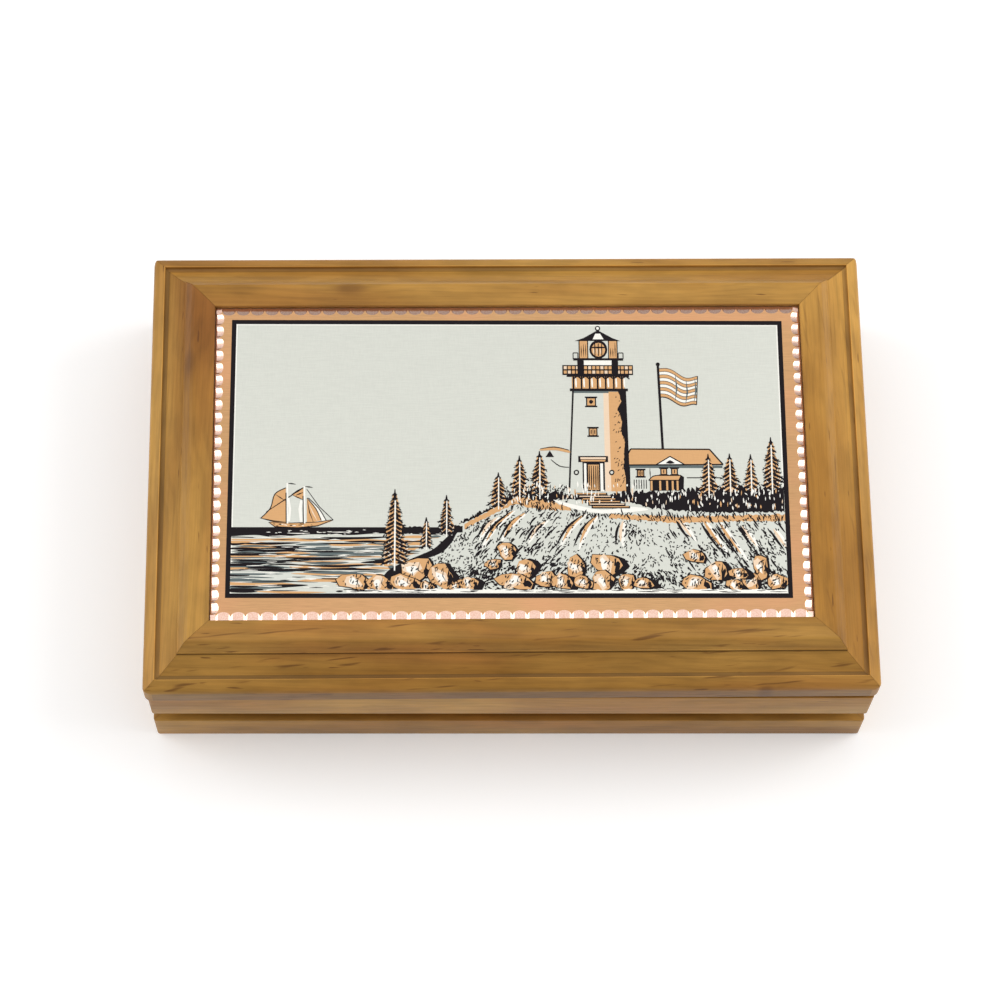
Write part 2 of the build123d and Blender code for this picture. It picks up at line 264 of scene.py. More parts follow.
def wood(name, along, seed, light=1.0, slant=0.0, ruddy=0.55, knots=(), shade_patches=(), slashes=0.0):
    """Lacquered wood with its grain along X or Y.

    Light scales the board's colour: partly its own paleness, partly painted light and painted
    shade for how the lamps fall on that board. Slant is how far its grain runs off square, in
    degrees, ruddy how red its redder drifts are, and each knot is a place with a size, where the
    rings part and close again. Each patch of painted shade is a place with a size, where the wood
    turns darker and redder, and slashes is how strong the slanting dark marks are.
    """
    material, tree, shader = start_finish(name)
    rng = random.Random(seed)
    shift = [rng.uniform(-3, 3) for _ in range(3)]

    turned = stretched(tree, (1, 1, 1), turn=(0, 0, math.radians(slant)))
    crossed = stretched(tree, (1, 1, 1), turn=(0, 0, math.radians(slant - SLASH_ANGLE)))

    def grain(length_scale, cross_scale, source=turned):
        scale = [cross_scale] * 3
        scale["XY".index(along)] = length_scale
        moved = add(tree, "Mapping", {"Vector": source, "Scale": scale, "Location": shift})
        return moved.outputs[0]

    def patch(place, size):
        """How far a point is from a place, as a share of an oval drawn out along the grain."""
        spread = [1 / size, 1 / size, 0]
        spread["XY".index(along)] = 1 / (PATCH_LONG * size)
        offset = stretched(tree, spread, (-place[0] * spread[0], -place[1] * spread[1], 0))
        return add(tree, "VectorMath", {0: offset}, operation="LENGTH").outputs["Value"]

    drift = noise(tree, grain(9, 42), 3, 0.55)
    hue = noise(tree, grain(14, 75), 2, 0.5)
    split = add(tree, "SeparateXYZ", {0: turned})
    cross = split.outputs["Y" if along == "X" else "X"]
    across = math_node(tree, "ADD", cross, split.outputs["Z"])
    bend = noise(tree, grain(16, 55), 1.5, 0.5, 0.6)
    phase = math_node(tree, "ADD", math_node(tree, "MULTIPLY", across, RINGS_PER_METRE),
                      math_node(tree, "MULTIPLY", bend, 34))
    darkest = 0.0
    for place, size in knots:
        away = patch(place, size)
        phase = math_node(tree, "ADD", phase, between(tree, away, 0.0, 1.0, 7.0, 0.0))
        darkest = math_node(tree, "MAXIMUM", darkest, between(tree, away, 0.05, 0.32, 0.55, 0.0))
    ring = math_node(tree, "SINE", phase)
    ring_soft = between(tree, ring, -0.2, 1.0)
    fibre = noise(tree, grain(55, 3400), 3, 0.6)
    streak = noise(tree, grain(22, 900), 2, 0.5)
    fleck = between(tree, noise(tree, grain(120, 1150), 1, 0.5), 0.735, 0.80, 0.0, 0.75)
    slanting = noise(tree, grain(50, 760, crossed), 1.5, 0.5)
    slash = between(tree, slanting, 0.625, 0.74, 0.0, slashes)
    mottle = noise(tree, grain(60, 130), 3, 0.55)
    spots = add(tree, "TexVoronoi", {"Vector": stretched(tree, (1, 1, 1), shift), "Scale": 95.0})
    near_spot = between(tree, spots.outputs["Distance"], 0.014, 0.026, 1.0, 0.0)
    chosen = add(tree, "SeparateColor", {0: spots.outputs["Color"]}).outputs[0]
    pin_hole = math_node(tree, "MULTIPLY", near_spot, between(tree, chosen, 0.80, 0.82))

    body = blend_colours(tree, between(tree, drift, 0.30, 0.72), PALE, DEEP)
    body = blend_colours(tree, between(tree, hue, 0.46, 0.74, 0, ruddy), body, RUDDY)
    # Painted shade: ovals where the board turns darker and redder, for shade that the lamps leave on it.
    for place, size in shade_patches:
        shade_patch = between(tree, patch(place, size), 0.25, 1.0, 0.75, 0.0)
        body = blend_colours(tree, shade_patch, body, PAINTED_SHADE_RED)
    line = math_node(tree, "ADD", math_node(tree, "MULTIPLY", ring_soft, 0.075),
                     between(tree, streak, 0.45, 0.75, 0.0, 0.11))
    line = math_node(tree, "ADD", line, between(tree, mottle, 0.35, 0.68, -0.05, 0.13))
    line = math_node(tree, "ADD", line, between(tree, fibre, 0.35, 0.75, -0.03, 0.08))
    shade = math_node(tree, "SUBTRACT", 1.0, line)
    body = blend_colours(tree, 1.0, body, grey(tree, shade), "MULTIPLY")
    # Painted light: the face attribute read here lightens arrises as painted highlight. It darkens
    # grooves, risers and upright faces as painted shade, over a little real wear and stain. The board's
    # light factor is partly painted light too.
    painted_light_and_wear = add(tree, "Attribute", {}, attribute_name="painted_light_and_wear").outputs["Fac"]
    lift = math_node(tree, "ADD", light, painted_light_and_wear)
    body = blend_colours(tree, 1.0, body, grey(tree, lift), "MULTIPLY")
    dark = math_node(tree, "MAXIMUM", math_node(tree, "MAXIMUM", fleck, slash), pin_hole)
    if knots:
        dark = math_node(tree, "MAXIMUM", dark, darkest)
    body = blend_colours(tree, dark, body, DARK_FLECK)
    put(tree, shader, {"Base Color": body,
                       "Roughness": between(tree, fibre, 0.3, 0.7, 0.42, 0.52),
                       "Specular IOR Level": 0.16, "Coat Weight": LACQUER,
                       "Coat Roughness": 0.22, "Coat IOR": 1.5})
    bump(tree, shader, math_node(tree, "SUBTRACT", fibre, pin_hole), 0.00004, 0.5)
    return material


print("wood: rings", round(math.tau / RINGS_PER_METRE / MM, 1), "mm apart")

# %% [markdown]
# Two helpers finish every mesh. One turns a bmesh into an object at the origin with sharp edges
# kept sharp, gives it its finish, hangs it on the body it rides on, and hides the solids it stands
# for. The other places the four sides of a rectangle: each side is made lying along X with its
# outer face on y = 0, and is then turned and moved out to its own side.

# %% Helpers for pieces
SHARP = math.radians(38)


def finish_piece(bm, name, material, body, stands_for=(), sharp=SHARP):
    """The bmesh as a finished object that rides on a body."""
    mesh = bpy.data.meshes.new(name)
    bm.to_mesh(mesh)
    bm.free()
    mesh.polygons.foreach_set("use_smooth", [True] * len(mesh.polygons))
    mesh.set_sharp_from_angle(angle=sharp)
    mesh.materials.append(material)
    piece = bpy.data.objects.new(name, mesh)
    bpy.context.scene.collection.objects.link(piece)
    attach(piece, body)
    if stands_for:
        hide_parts(*stands_for)
    return piece


def side_places(half):
    """For each side of a rectangle: name, length, grain axis, and the matrix that places it."""
    quarter = math.pi / 2
    sides = []
    for index, name in enumerate(("front", "right", "back", "left")):
        along_x = index % 2 == 0
        length = 2 * (half.x if along_x else half.y)
        out = half.y if along_x else half.x
        turn = Matrix.Rotation(index * quarter, 4, "Z")
        sides.append((name, length, "X" if along_x else "Y",
                      turn @ Matrix.Translation((0, -out, 0))))
    return sides


# %% [markdown]
# A mitred frame rail is one section run along its length and sawn at 45 degrees at both ends.
# The section starts as a few corner points, a vertex bevel rounds each corner by its own radius,
# an extrusion makes the length, and two bisecting planes saw the mitres. A hair's breadth is
# left at each mitre, and that gap draws the fine dark line that real mitres show. Extra cuts
# close to the ends let the outer corner be sanded round.

# %% Run a section along a side and mitre it
MITRE_GAP = 0.035 * MM
SAME_POINT = 0.002 * MM
SANDING_CUTS = (0.25, 0.5, 0.8, 1.2)


def section_face(bm, corners, x):
    """A face in the plane x from ((distance in, height), radius) corners, rounded by bevels."""
    corner_verts = [bm.verts.new((x, d, z)) for (d, z), radius in corners]
    bm.faces.new(corner_verts)
    for vert, (point, radius) in zip(corner_verts, corners):
        if radius > 0:
            bmesh.ops.bevel(bm, geom=[vert], offset=radius, offset_type="OFFSET",
                            segments=4 if radius < MM else 8, profile=0.5, affect="VERTICES",
                            material=-1)
    return bm.faces[:]


def mitred_side(corners, length, corner_radius=0.0):
    """A bmesh of a section run along X, mitred inwards at both ends."""
    bm = bmesh.new()
    faces = section_face(bm, corners, -length / 2)
    ext = bmesh.ops.extrude_face_region(bm, geom=faces)
    moved = [g for g in ext["geom"] if isinstance(g, bmesh.types.BMVert)]
    bmesh.ops.translate(bm, verts=moved, vec=(length, 0, 0))
    bmesh.ops.recalc_face_normals(bm, faces=bm.faces[:])
    for step in SANDING_CUTS if corner_radius else ():
        for end in (-1, 1):
            bmesh.ops.bisect_plane(bm, geom=bm.verts[:] + bm.edges[:] + bm.faces[:],
                                   plane_co=(end * (length / 2 - step * corner_radius), 0, 0),
                                   plane_no=(1, 0, 0))
    for end in (-1, 1):
        saw = Vector((end, 1, 0)).normalized()
        at = Vector((end * length / 2, 0, 0)) - saw * MITRE_GAP
        cut = bmesh.ops.bisect_plane(bm, geom=bm.verts[:] + bm.edges[:] + bm.faces[:],
                                     plane_co=at, plane_no=saw, clear_outer=True)
        rim = [e for e in cut["geom_cut"] if isinstance(e, bmesh.types.BMEdge)]
        bmesh.ops.edgeloop_fill(bm, edges=rim)
    if corner_radius:
        for vert in bm.verts:
            sand_corner(vert, length, corner_radius)
    bmesh.ops.remove_doubles(bm, verts=bm.verts[:], dist=SAME_POINT)
    bmesh.ops.recalc_face_normals(bm, faces=bm.faces[:])
    return bm


def sand_corner(vert, length, radius):
    """Pulls a vertex in to the rounded outline of the frame's corner."""
    centre_x = length / 2 - radius
    over_x, over_y = abs(vert.co.x) - centre_x, radius - vert.co.y
    reach = math.hypot(over_x, over_y)
    if over_x > 0 and over_y > 0 and reach > radius:
        vert.co.x = math.copysign(centre_x + over_x * radius / reach, vert.co.x)
        vert.co.y = radius - over_y * radius / reach


print("mitre gap mm:", round(2 * MITRE_GAP / MM, 3))

# %% [markdown]
# The lid's moulding, from the outside in: an upright edge, a flat outer band that rises to an
# arris, a narrow groove, a hollow cove, a small step, a steep fillet up to a ridge, and a broad
# face that falls gently to the picture. Underneath is the rabbet for the backing board.

# %% Lid rails
under, ridge_z = lid_box("lid_rail_front")[0].z, lid_box("lid_rail_front")[1].z
shelf = lid_box("backing_board")[1].z
SIGHT_IN = 19.0 * MM
RABBET_IN = 16.0 * MM
moulding = [((0, under), 0.4), ((0, under + 7.2 * MM), 1.3), ((3.5 * MM, under + 9.2 * MM), 0.22),
            ((3.62 * MM, under + 8.1 * MM), 0.15), ((4.7 * MM, under + 8.1 * MM), 0.2),
            ((7.5 * MM, under + 9.8 * MM), 5.0), ((9.9 * MM, under + 11.7 * MM), 0.2),
            ((10.0 * MM, under + 12.8 * MM), 0.22), ((12.5 * MM, ridge_z + 0.04 * MM), 0.8),
            ((SIGHT_IN, under + 15.3 * MM), 0.3), ((SIGHT_IN, shelf), 0), ((RABBET_IN, shelf), 0),
            ((RABBET_IN, under), 0.4)]
moulding = [(point, radius * MM) for point, radius in moulding]


def painted_light_in_moulding(d, z):
    """Painted light at a place in the section: highlight on arrises, over a little real wear, and shade
    in the groove, on the riser and on the upright face.
    """
    high = z - under
    # Painted shade on the upright outer face, which gets less of the lamps' light.
    if d < 0.02 * MM:
        return -0.26
    # Painted shade in the groove, over a little real stain.
    if 3.55 * MM < d < 4.85 * MM and high < 8.5 * MM and high > 6 * MM:
        return -0.42
    # Painted shade on the riser under the step.
    if 9.7 * MM < d < 10.05 * MM and 11 * MM < high < 12.6 * MM:
        return -0.45
    # Painted highlights on the two arrises, over a little real wear.
    for arris in ((3.45, 9.1), (10.1, 12.85)):
        if math.hypot(d - arris[0] * MM, high - arris[1] * MM) < 0.22 * MM:
            return 0.35
    return 0.0


def paint_light_and_wear(bm, rule):
    """Writes painted light on every face as an attribute, from the face's place in the section."""
    layer = bm.faces.layers.float.new("painted_light_and_wear")
    for face in bm.faces:
        centre = face.calc_center_median()
        face[layer] = rule(centre.y, centre.z)


LID_CORNER_R = 2.2 * MM
# Each rail's light factor is partly painted light. The front rail is darker as painted shade and the
# right rail paler as painted light, for how the lamps fall on those sides.
rail_looks = {"front": {"light": 0.93, "slant": 1.5, "slashes": 0.7, "ruddy": 0.8,
                        "knots": (((0.072, -0.0668), 0.004),)},
              "right": {"light": 1.27, "slant": -1.0, "slashes": 0.2, "ruddy": 0.15},
              "back": {"light": 1.04, "slant": 1.0, "ruddy": 0.35,
                       "knots": (((-0.047, 0.0535), 0.009),)},
              # The left rail's oval patch is painted shade, where its inner face lies in shade near the
              # back.
              "left": {"light": 1.04, "slant": 1.2, "ruddy": 0.4,
                       "knots": (((-0.0935, 0.030), 0.008),),
                       "shade_patches": (((-0.0885, 0.052), 0.015),)}}
rails = {}
for index, (name, length, axis, place) in enumerate(side_places(lid_half)):
    bm = mitred_side(moulding, length, LID_CORNER_R)
    # Painted highlights and painted shade go onto the rail's faces here.
    paint_light_and_wear(bm, painted_light_in_moulding)
    bm.transform(lid_place @ place)
    node = "lid_rail_" + name
    board = wood(node + "_wood", axis, 11 + index, **rail_looks[name])
    rails[name] = finish_piece(bm, "rail_" + name, board, "lid", [node])
print("rails:", {n: len(r.data.polygons) for n, r in rails.items()})

# %% [markdown]
# The plinth and the band are the same idea with a plain square section whose arrises are just
# eased with sandpaper.

# %% Plinth and band
body_half = Vector((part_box("plinth_right")[1].x, -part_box("plinth_front")[0].y))
strip_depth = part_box("plinth_front")[1].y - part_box("plinth_front")[0].y
EASED = 0.35 * MM
BOX_CORNER_R = 1.0 * MM


def square_section(low, high, depth, ease):
    """Corners of a plain strip's section."""
    return [((0, low), ease), ((0, high), ease), ((depth, high), 0), ((depth, low), 0)]


strips = {}
for kind, first_seed in (("plinth", 31), ("band", 41)):
    low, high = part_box(kind + "_front")[0].z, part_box(kind + "_front")[1].z
    for index, (name, length, axis, place) in enumerate(side_places(body_half)):
        bm = mitred_side(square_section(low, high, strip_depth, EASED), length, BOX_CORNER_R)
        bm.transform(place)
        node = kind + "_" + name
        board = wood(node + "_wood", axis, first_seed + index)
        strips[node] = finish_piece(bm, node + "_strip", board, "body", [node])
print("strips:", len(strips), "of depth mm", round(strip_depth / MM, 1))

# %% [markdown]
# Three metal finishes are needed for the picture. The margin of the plate is copper brushed from
# side to side, its cut rim is the same copper polished, and the picture is thin leaf with a
# faint grain. A little of the leaf's colour is diffuse, because oxide and lacquer scatter light.

# %% Metal finishes


def shade_of(colour, times):
    """A colour made lighter or darker, and never brighter than full."""
    return [min(c * times, 1) for c in colour[:3]] + [1]


def brushed(name, colour, rough):
    """Metal brushed along X."""
    material, tree, shader = start_finish(name)
    lines = noise(tree, stretched(tree, (180, 9000, 9000)), 2, 0.6)
    cloud = noise(tree, stretched(tree, (30, 60, 60)), 2, 0.5)
    mixed = blend_colours(tree, between(tree, lines, 0.3, 0.7),
                          shade_of(colour, 1.06), shade_of(colour, 0.84))
    warmth = between(tree, cloud, 0.4, 0.7, 0, 0.35)
    warmer = blend_colours(tree, warmth, mixed, (0.80, 0.36, 0.20, 1))
    put(tree, shader, {"Base Color": warmer, "Metallic": 0.85, "Anisotropic": 0.4,
                       "Roughness": between(tree, lines, 0.3, 0.7, rough, rough + 0.12)})
    bump(tree, shader, lines, 0.00002, 0.35)
    return material


def polished_copper():
    """Bright copper fresh from the cutting tool."""
    material, tree, shader = start_finish("cut_copper")
    turning = noise(tree, stretched(tree, (2500, 2500, 2500)), 1, 0.5)
    colour = blend_colours(tree, between(tree, turning, 0.35, 0.7), (0.93, 0.66, 0.54, 1),
                           (0.86, 0.54, 0.42, 1))
    put(tree, shader, {"Base Color": colour, "Metallic": 0.95, "Roughness": 0.16})
    return material


def metal_leaf(name, colour, metallic=0.75):
    """Thin leaf with a faint crossing grain."""
    material, tree, shader = start_finish(name)
    weft = noise(tree, stretched(tree, (250, 5200, 5200)), 2, 0.6)
    warp = noise(tree, stretched(tree, (5200, 400, 5200)), 2, 0.6)
    grain = math_node(tree, "ADD", math_node(tree, "MULTIPLY", weft, 0.6),
                      math_node(tree, "MULTIPLY", warp, 0.4))
    mixed = blend_colours(tree, between(tree, grain, 0.35, 0.65),
                          shade_of(colour, 1.02), shade_of(colour, 0.955))
    put(tree, shader, {"Base Color": mixed, "Metallic": metallic, "Specular IOR Level": 0.12,
                       "Roughness": between(tree, grain, 0.35, 0.65, 0.34, 0.44)})
    bump(tree, shader, grain, 0.00001, 0.25)
    return material


metals = {"silver": metal_leaf("silver_leaf", (0.68, 0.69, 0.625, 1)),
          "white": metal_leaf("white_leaf", (0.93, 0.91, 0.84, 1)),
          "blush": metal_leaf("blush_leaf", (0.86, 0.66, 0.48, 1)),
          "copper": metal_leaf("copper_leaf", (0.70, 0.40, 0.185, 1)),
          "slate": metal_leaf("slate_oxide", (0.13, 0.16, 0.16, 1), 0.5),
          "black": metal_leaf("black_oxide", (0.010, 0.007, 0.009, 1), 0.1)}
print("leaf finishes:", list(metals))

# %% [markdown]
# The picture is a souvenir's copper plate. Its rim is diamond cut: a spinning tool has dipped
# into the edge again and again, and left a row of bright scallops. Each scallop reaches in by an
# arc and is deepest at the outer edge, in proportion to that arc. So the flat top is made first
# as one outline of arcs; the outline's edges are extruded outwards and down to the scalloped
# edge, and again straight down to the underside.

# %% Copper plate with its diamond-cut edge
plate_low, plate_high = lid_box("copper_plate")
BEADS_LONG, BEADS_SHORT = 40, 24
BEAD_REACH = 2.35 * MM
BEAD_ROOT = 0.38
BEAD_DROP = 0.24
CORNER_FLAT = 1.6 * MM


def bead_points(half_length, out, count, steps=8):
    """Along one edge: (along, distance out, how far the cut reaches in), bead by bead."""
    start = half_length - CORNER_FLAT
    pitch = 2 * start / count
    points = []
    for bead in range(count):
        for step in range(steps):
            across = 2 * step / steps - 1
            reach = BEAD_REACH * (BEAD_ROOT + (1 - BEAD_ROOT) * math.sqrt(1 - across * across))
            points.append((-start + pitch * (bead + step / steps), out, reach))
    points.append((start, out, BEAD_REACH * BEAD_ROOT))
    return points


def plate_rim():
    """Round the plate: (place on the flat top, place on the outer edge, depth of the cut)."""
    rim = []
    for quarter in range(4):
        turn = Matrix.Rotation(quarter * math.pi / 2, 2)
        long_side = quarter % 2 == 0
        half_length = plate_high.x if long_side else plate_high.y
        out = plate_high.y if long_side else plate_high.x
        count = BEADS_LONG if long_side else BEADS_SHORT
        for along, edge, reach in bead_points(half_length, out, count):
            rim.append((turn @ Vector((along, reach - edge)), turn @ Vector((along, -edge)),
                        BEAD_DROP * reach))
        rim.append((turn @ Vector((half_length - CORNER_FLAT, CORNER_FLAT - out)),
                    turn @ Vector((half_length, -out)), BEAD_DROP * CORNER_FLAT))
    return rim


bm = bmesh.new()
rim = plate_rim()
place_of = bm.verts.layers.int.new("place")
for index, (flat, _, _) in enumerate(rim):
    bm.verts.new((flat.x, flat.y, plate_high.z))[place_of] = index
bm.faces.new(bm.verts[:])
cut = bmesh.ops.extrude_edge_only(bm, edges=bm.edges[:])
for vert in (g for g in cut["geom"] if isinstance(g, bmesh.types.BMVert)):
    _, outer, drop = rim[vert[place_of]]
    vert.co = (outer.x, outer.y, plate_high.z - drop)
facets = [g for g in cut["geom"] if isinstance(g, bmesh.types.BMFace)]
for face in facets:
    face.material_index = 1
outer_edges = [e for e in bm.edges if e.is_boundary]
wall = bmesh.ops.extrude_edge_only(bm, edges=outer_edges)
wall_verts = [g for g in wall["geom"] if isinstance(g, bmesh.types.BMVert)]
for vert in wall_verts:
    vert.co.z = plate_low.z
bmesh.ops.edgeloop_fill(bm, edges=[e for e in bm.edges if e.is_boundary])
bmesh.ops.recalc_face_normals(bm, faces=bm.faces[:])
bm.transform(lid_place)
plate = finish_piece(bm, "picture_plate", brushed("copper_margin", (0.62, 0.355, 0.165, 1), 0.30),
                     "lid", ["copper_plate"], sharp=math.radians(9))
plate.data.materials.append(polished_copper())
print("plate:", len(plate.data.polygons), "faces,", 2 * (BEADS_LONG + BEADS_SHORT), "beads")

# %% [markdown]
# The etched picture is a stack of very thin metal shapes, as on the real plate, where silver,
# copper and black oxide lie a hair above one another. Each shape is one flat outline, drawn in
# millimetres from the picture's lower left corner and put on a level; a later level covers an
# earlier one, as a painter would work. When the drawing is done, every level is extruded to its
# height in one step. The helpers below are the drawing tools: a smooth line, a pen stroke that
# swells and tapers, a ragged edge and a pebble. An even line is drawn as a tip of nearly its full
# width, and GOLDEN spreads the hairs between shapes so that neighbours never share a height.

# %% Drawing tools
PICTURE_W, PICTURE_H = 158.5, 83.3
FRAME_LINE = 1.35
LEVEL_STEP = 0.016
GOLDEN = 0.618034
EVEN = 0.999
FRAME, EDGE_LIGHT, FIELD, FAR, FAR_LINE, SHAPE, FACE, LINE, LIGHT, NEAR, STONE, SHINE = range(1, 13)
sheets = {}


def lay(metal, level, outline, trim=True, room=0.9):
    """One closed flat shape of a metal on a level; the picture's edge trims it.

    Each shape is a different hair higher, within its room in the level, so that no two tops
    ever share a plane.
    """
    points = []
    for u, v in outline:
        place = (min(max(u, 0), PICTURE_W), min(max(v, 0), PICTURE_H)) if trim else (u, v)
        if not points or math.dist(place, points[-1]) > 0.01:
            points.append(place)
    if math.dist(points[0], points[-1]) <= 0.01:
        points.pop()
    if len(points) < 3:
        return
    if (metal, level) not in sheets:
        sheets[metal, level] = bmesh.new()
    bm = sheets[metal, level]
    hair = room * LEVEL_STEP * (len(bm.faces) * GOLDEN % 1)
    bm.faces.new([bm.verts.new((u, v, hair)) for u, v in points])


def box_shape(metal, level, u0, v0, u1, v1, trim=True):
    """An upright rectangle."""
    lay(metal, level, [(u0, v0), (u1, v0), (u1, v1), (u0, v1)], trim)


def catmull_rom(a, b, c, d, t):
    """A place between b and c, where a and d are the points before and after them."""
    return b + 0.5 * t * (c - a + t * (2 * a - 5 * b + 4 * c - d + t * (3 * b - a - 3 * c + d)))


def smooth_line(points, steps=5, closed=False):
    """A smooth line through a few points: each stretch is a Catmull-Rom curve."""
    count = len(points)
    line = []
    for i in range(count if closed else count - 1):
        around = [i + k for k in (-1, 0, 1, 2)]
        a, b, c, d = [points[n % count] if closed else points[min(max(n, 0), count - 1)]
                      for n in around]
        for step in range(steps):
            t = step / steps
            line.append(tuple(catmull_rom(a[n], b[n], c[n], d[n], t) for n in (0, 1)))
    return line if closed else line + [tuple(points[-1])]


def stroke(metal, level, points, wide, tip=0.25):
    """A pen line that swells in the middle and narrows to a tip share of its width."""
    line = [Vector(p) for p in points]
    if len(line) == 2 and tip < 1:
        line.insert(1, (line[0] + line[1]) / 2)
    last = len(line) - 1
    left, right = [], []
    for i, point in enumerate(line):
        ahead = line[min(i + 1, last)] - line[max(i - 1, 0)]
        side = Vector((-ahead.y, ahead.x)).normalized()
        swell = tip + (1 - tip) * math.sin(math.pi * i / last)
        left.append(point + side * wide * swell / 2)
        right.append(point - side * wide * swell / 2)
    lay(metal, level, [tuple(p) for p in left + right[::-1]])


def outline_strokes(level, points, wide, closed=True):
    """A black line of even width along each side of a shape."""
    count = len(points)
    for i in range(count if closed else count - 1):
        stroke("black", level, [points[i], points[(i + 1) % count]], wide, tip=EVEN)


def ragged(points, rng, size, spacing=0.5):
    """A line broken into short steps that jump to and fro, like grass or torn edges."""
    line = []
    for a, b in zip(points, points[1:]):
        steps = max(1, round(math.dist(a, b) / spacing))
        for step in range(steps):
            t = step / steps
            line.append((a[0] + (b[0] - a[0]) * t + rng.uniform(-0.3, 0.3) * size,
                         a[1] + (b[1] - a[1]) * t + rng.uniform(-1, 1) * size))
    return line + [points[-1]]


def pebble(centre, size, seed, wobble=0.09, turn=0.0, count=16):
    """A rounded outline: an ellipse whose radius has a few slow waves."""
    rng = random.Random(seed)
    shares = ((2, 1), (3, 0.7), (5, 0.3))
    waves = [(n, wobble * share, rng.uniform(0, math.tau)) for n, share in shares]
    outline = []
    for i in range(count):
        angle = math.tau * i / count
        swell = 1 + sum(high * math.sin(n * angle + phase) for n, high, phase in waves)
        x, y = size[0] * swell * math.cos(angle), size[1] * swell * math.sin(angle)
        outline.append((centre[0] + x * math.cos(turn) - y * math.sin(turn),
                        centre[1] + x * math.sin(turn) + y * math.cos(turn)))
    return outline


def dash(metal, level, rng, u, v, long, wide, slope):
    """A short mark at an angle, a little bent."""
    step = Vector((math.cos(slope), math.sin(slope))) * long / 2
    bend = rng.uniform(-0.2, 0.2) * min(long, 0.8)
    points = [(u - step.x, v - step.y), (u + bend * 0.3, v + bend), (u + step.x, v + step.y)]
    stroke(metal, level, points, wide, tip=0.35)


def report_shapes(what):
    """Prints how many shapes the drawing has by now."""
    print(what + ":", sum(len(bm.faces) for bm in sheets.values()), "shapes so far")


print("picture mm:", PICTURE_W, "x", PICTURE_H, "on", SHINE, "levels", LEVEL_STEP, "mm apart")

# %% [markdown]
# The frame line comes first: a black rectangle, a bright one a little smaller, and the silver
# field smaller again, so a black line and a thin white line are left showing.

# %% Border and field
EDGE_WHITE = 0.35
box_shape("black", FRAME, -FRAME_LINE, -FRAME_LINE, PICTURE_W + FRAME_LINE,
          PICTURE_H + FRAME_LINE, False)
box_shape("white", EDGE_LIGHT, 0, 0, PICTURE_W, PICTURE_H)
box_shape("silver", FIELD, EDGE_WHITE, 0, PICTURE_W - EDGE_WHITE, PICTURE_H - EDGE_WHITE)
report_shapes("border")

# %% [markdown]
# The sea is long flat streaks of copper, silver and black. They are crowded and dark at the
# horizon and open out towards the viewer. A seeded random generator places them, row by row.

# %% Sea
HORIZON = 20.0
rng = random.Random(3)


def shore(v):
    """Where the land begins, to the right of the sea, at a height."""
    return 31.5 + 2.2 * v if v < 8 else 47 + 1.6 * (v - 8)


sea_line = [(68, HORIZON), (0, HORIZON)]
low_edge = smooth_line([(0, 17.2), (7, 17.6), (13, 16.9), (22, 17.8), (34, 17.6), (44, 18.1),
                        (68, 17.3)])
lay("black", FAR, low_edge + sea_line)
row = 16.9
while row > 0.6:
    near = 1 - row / 17
    u = rng.uniform(-8, 2)
    while u < shore(row) - 2:
        long = rng.uniform(7, 24)
        end = min(u + long, shore(row) - rng.uniform(0, 3))
        kind = rng.random()
        metal = "copper" if kind < 0.31 else "black" if kind < 0.70 - 0.08 * near else "slate"
        if kind < 0.89 - 0.08 * near and end > u + 2:
            wave = rng.uniform(-0.35, 0.35)
            middle = ((u + end) / 2, row + wave)
            fat = rng.uniform(0.35, 1.25) if metal == "copper" else rng.uniform(0.25, 0.95)
            line = smooth_line([(u, row), middle, (end, row + rng.uniform(-0.3, 0.3))], 5)
            stroke(metal, FAR if metal == "copper" else FAR_LINE, line, fat, tip=0.1)
        u = end + rng.uniform(-3, 4)
    row -= rng.uniform(0.30, 0.52)
for _ in range(90):
    v = rng.uniform(1.0, 18.6)
    u = rng.uniform(0, shore(v) - 6)
    dash("white" if rng.random() < 0.7 else "black", SHAPE, rng, u + 3, v, rng.uniform(2, 7), 0.26, 0)
for _ in range(40):
    dash("white", SHAPE, rng, rng.uniform(10, 62), rng.uniform(17.6, 19.2),
         rng.uniform(0.5, 1.8), 0.22, 0)
report_shapes("sea")

# %% [markdown]
# A two-masted ship stands on the horizon. Sails are copper shapes edged in black; masts are
# white with a dark side.

# %% Ship
sail_aft = smooth_line([(8.3, 22.7), (11.0, 25.8), (12.2, 30.1), (15.3, 32.0)], 4)
lay("copper", FACE, sail_aft + [(15.5, 21.6), (11.9, 21.9)])
outline_strokes(LINE, sail_aft, 0.28, closed=False)
stroke("black", LINE, [(8.0, 22.8), (12, 21.8), (15.6, 21.5)], 0.45)
stroke("black", LINE, [(9.8, 24.6), (15.4, 28.6), (19.8, 31.7)], 0.32, 0.6)
stroke("black", LINE, [(12.3, 30.0), (15.4, 27.9)], 0.28)
lay("copper", FACE, [(17.2, 29.9), (20.3, 31.9), (20.4, 28.6), (18.6, 28.9)])
stroke("black", LINE, [(17.0, 29.9), (20.4, 32.1)], 0.6, 0.4)
stroke("black", LINE, [(17.4, 29.7), (20.2, 28.4)], 0.3)
stroke("black", LINE, [(18.2, 29.7), (20.3, 30.6)], 0.4)
stroke("white", LINE, [(16.1, 28.9), (16.6, 25.5), (16.4, 21.8)], 0.7, 0.8)
stroke("white", LINE, [(19.9, 28.2), (19.5, 25.5), (19.9, 21.5)], 1.0, 0.8)
for fore, (foot, colour) in enumerate(((25.6, "copper"), (27.0, "white"))):
    head = (21.4 + 0.4 * fore, 28.9)
    luff = smooth_line([head, ((head[0] + foot) / 2 + 0.5, 25.6), (foot, 22.0)], 4)
    lay(colour, FACE - fore, luff + [(foot - 2.4, 21.5), (21.5, 21.3)])
    outline_strokes(LINE, luff, 0.26, closed=False)
stroke("black", LINE, [(21.5, 28.3), (22.2, 24.5), (23.4, 21.4)], 0.3)
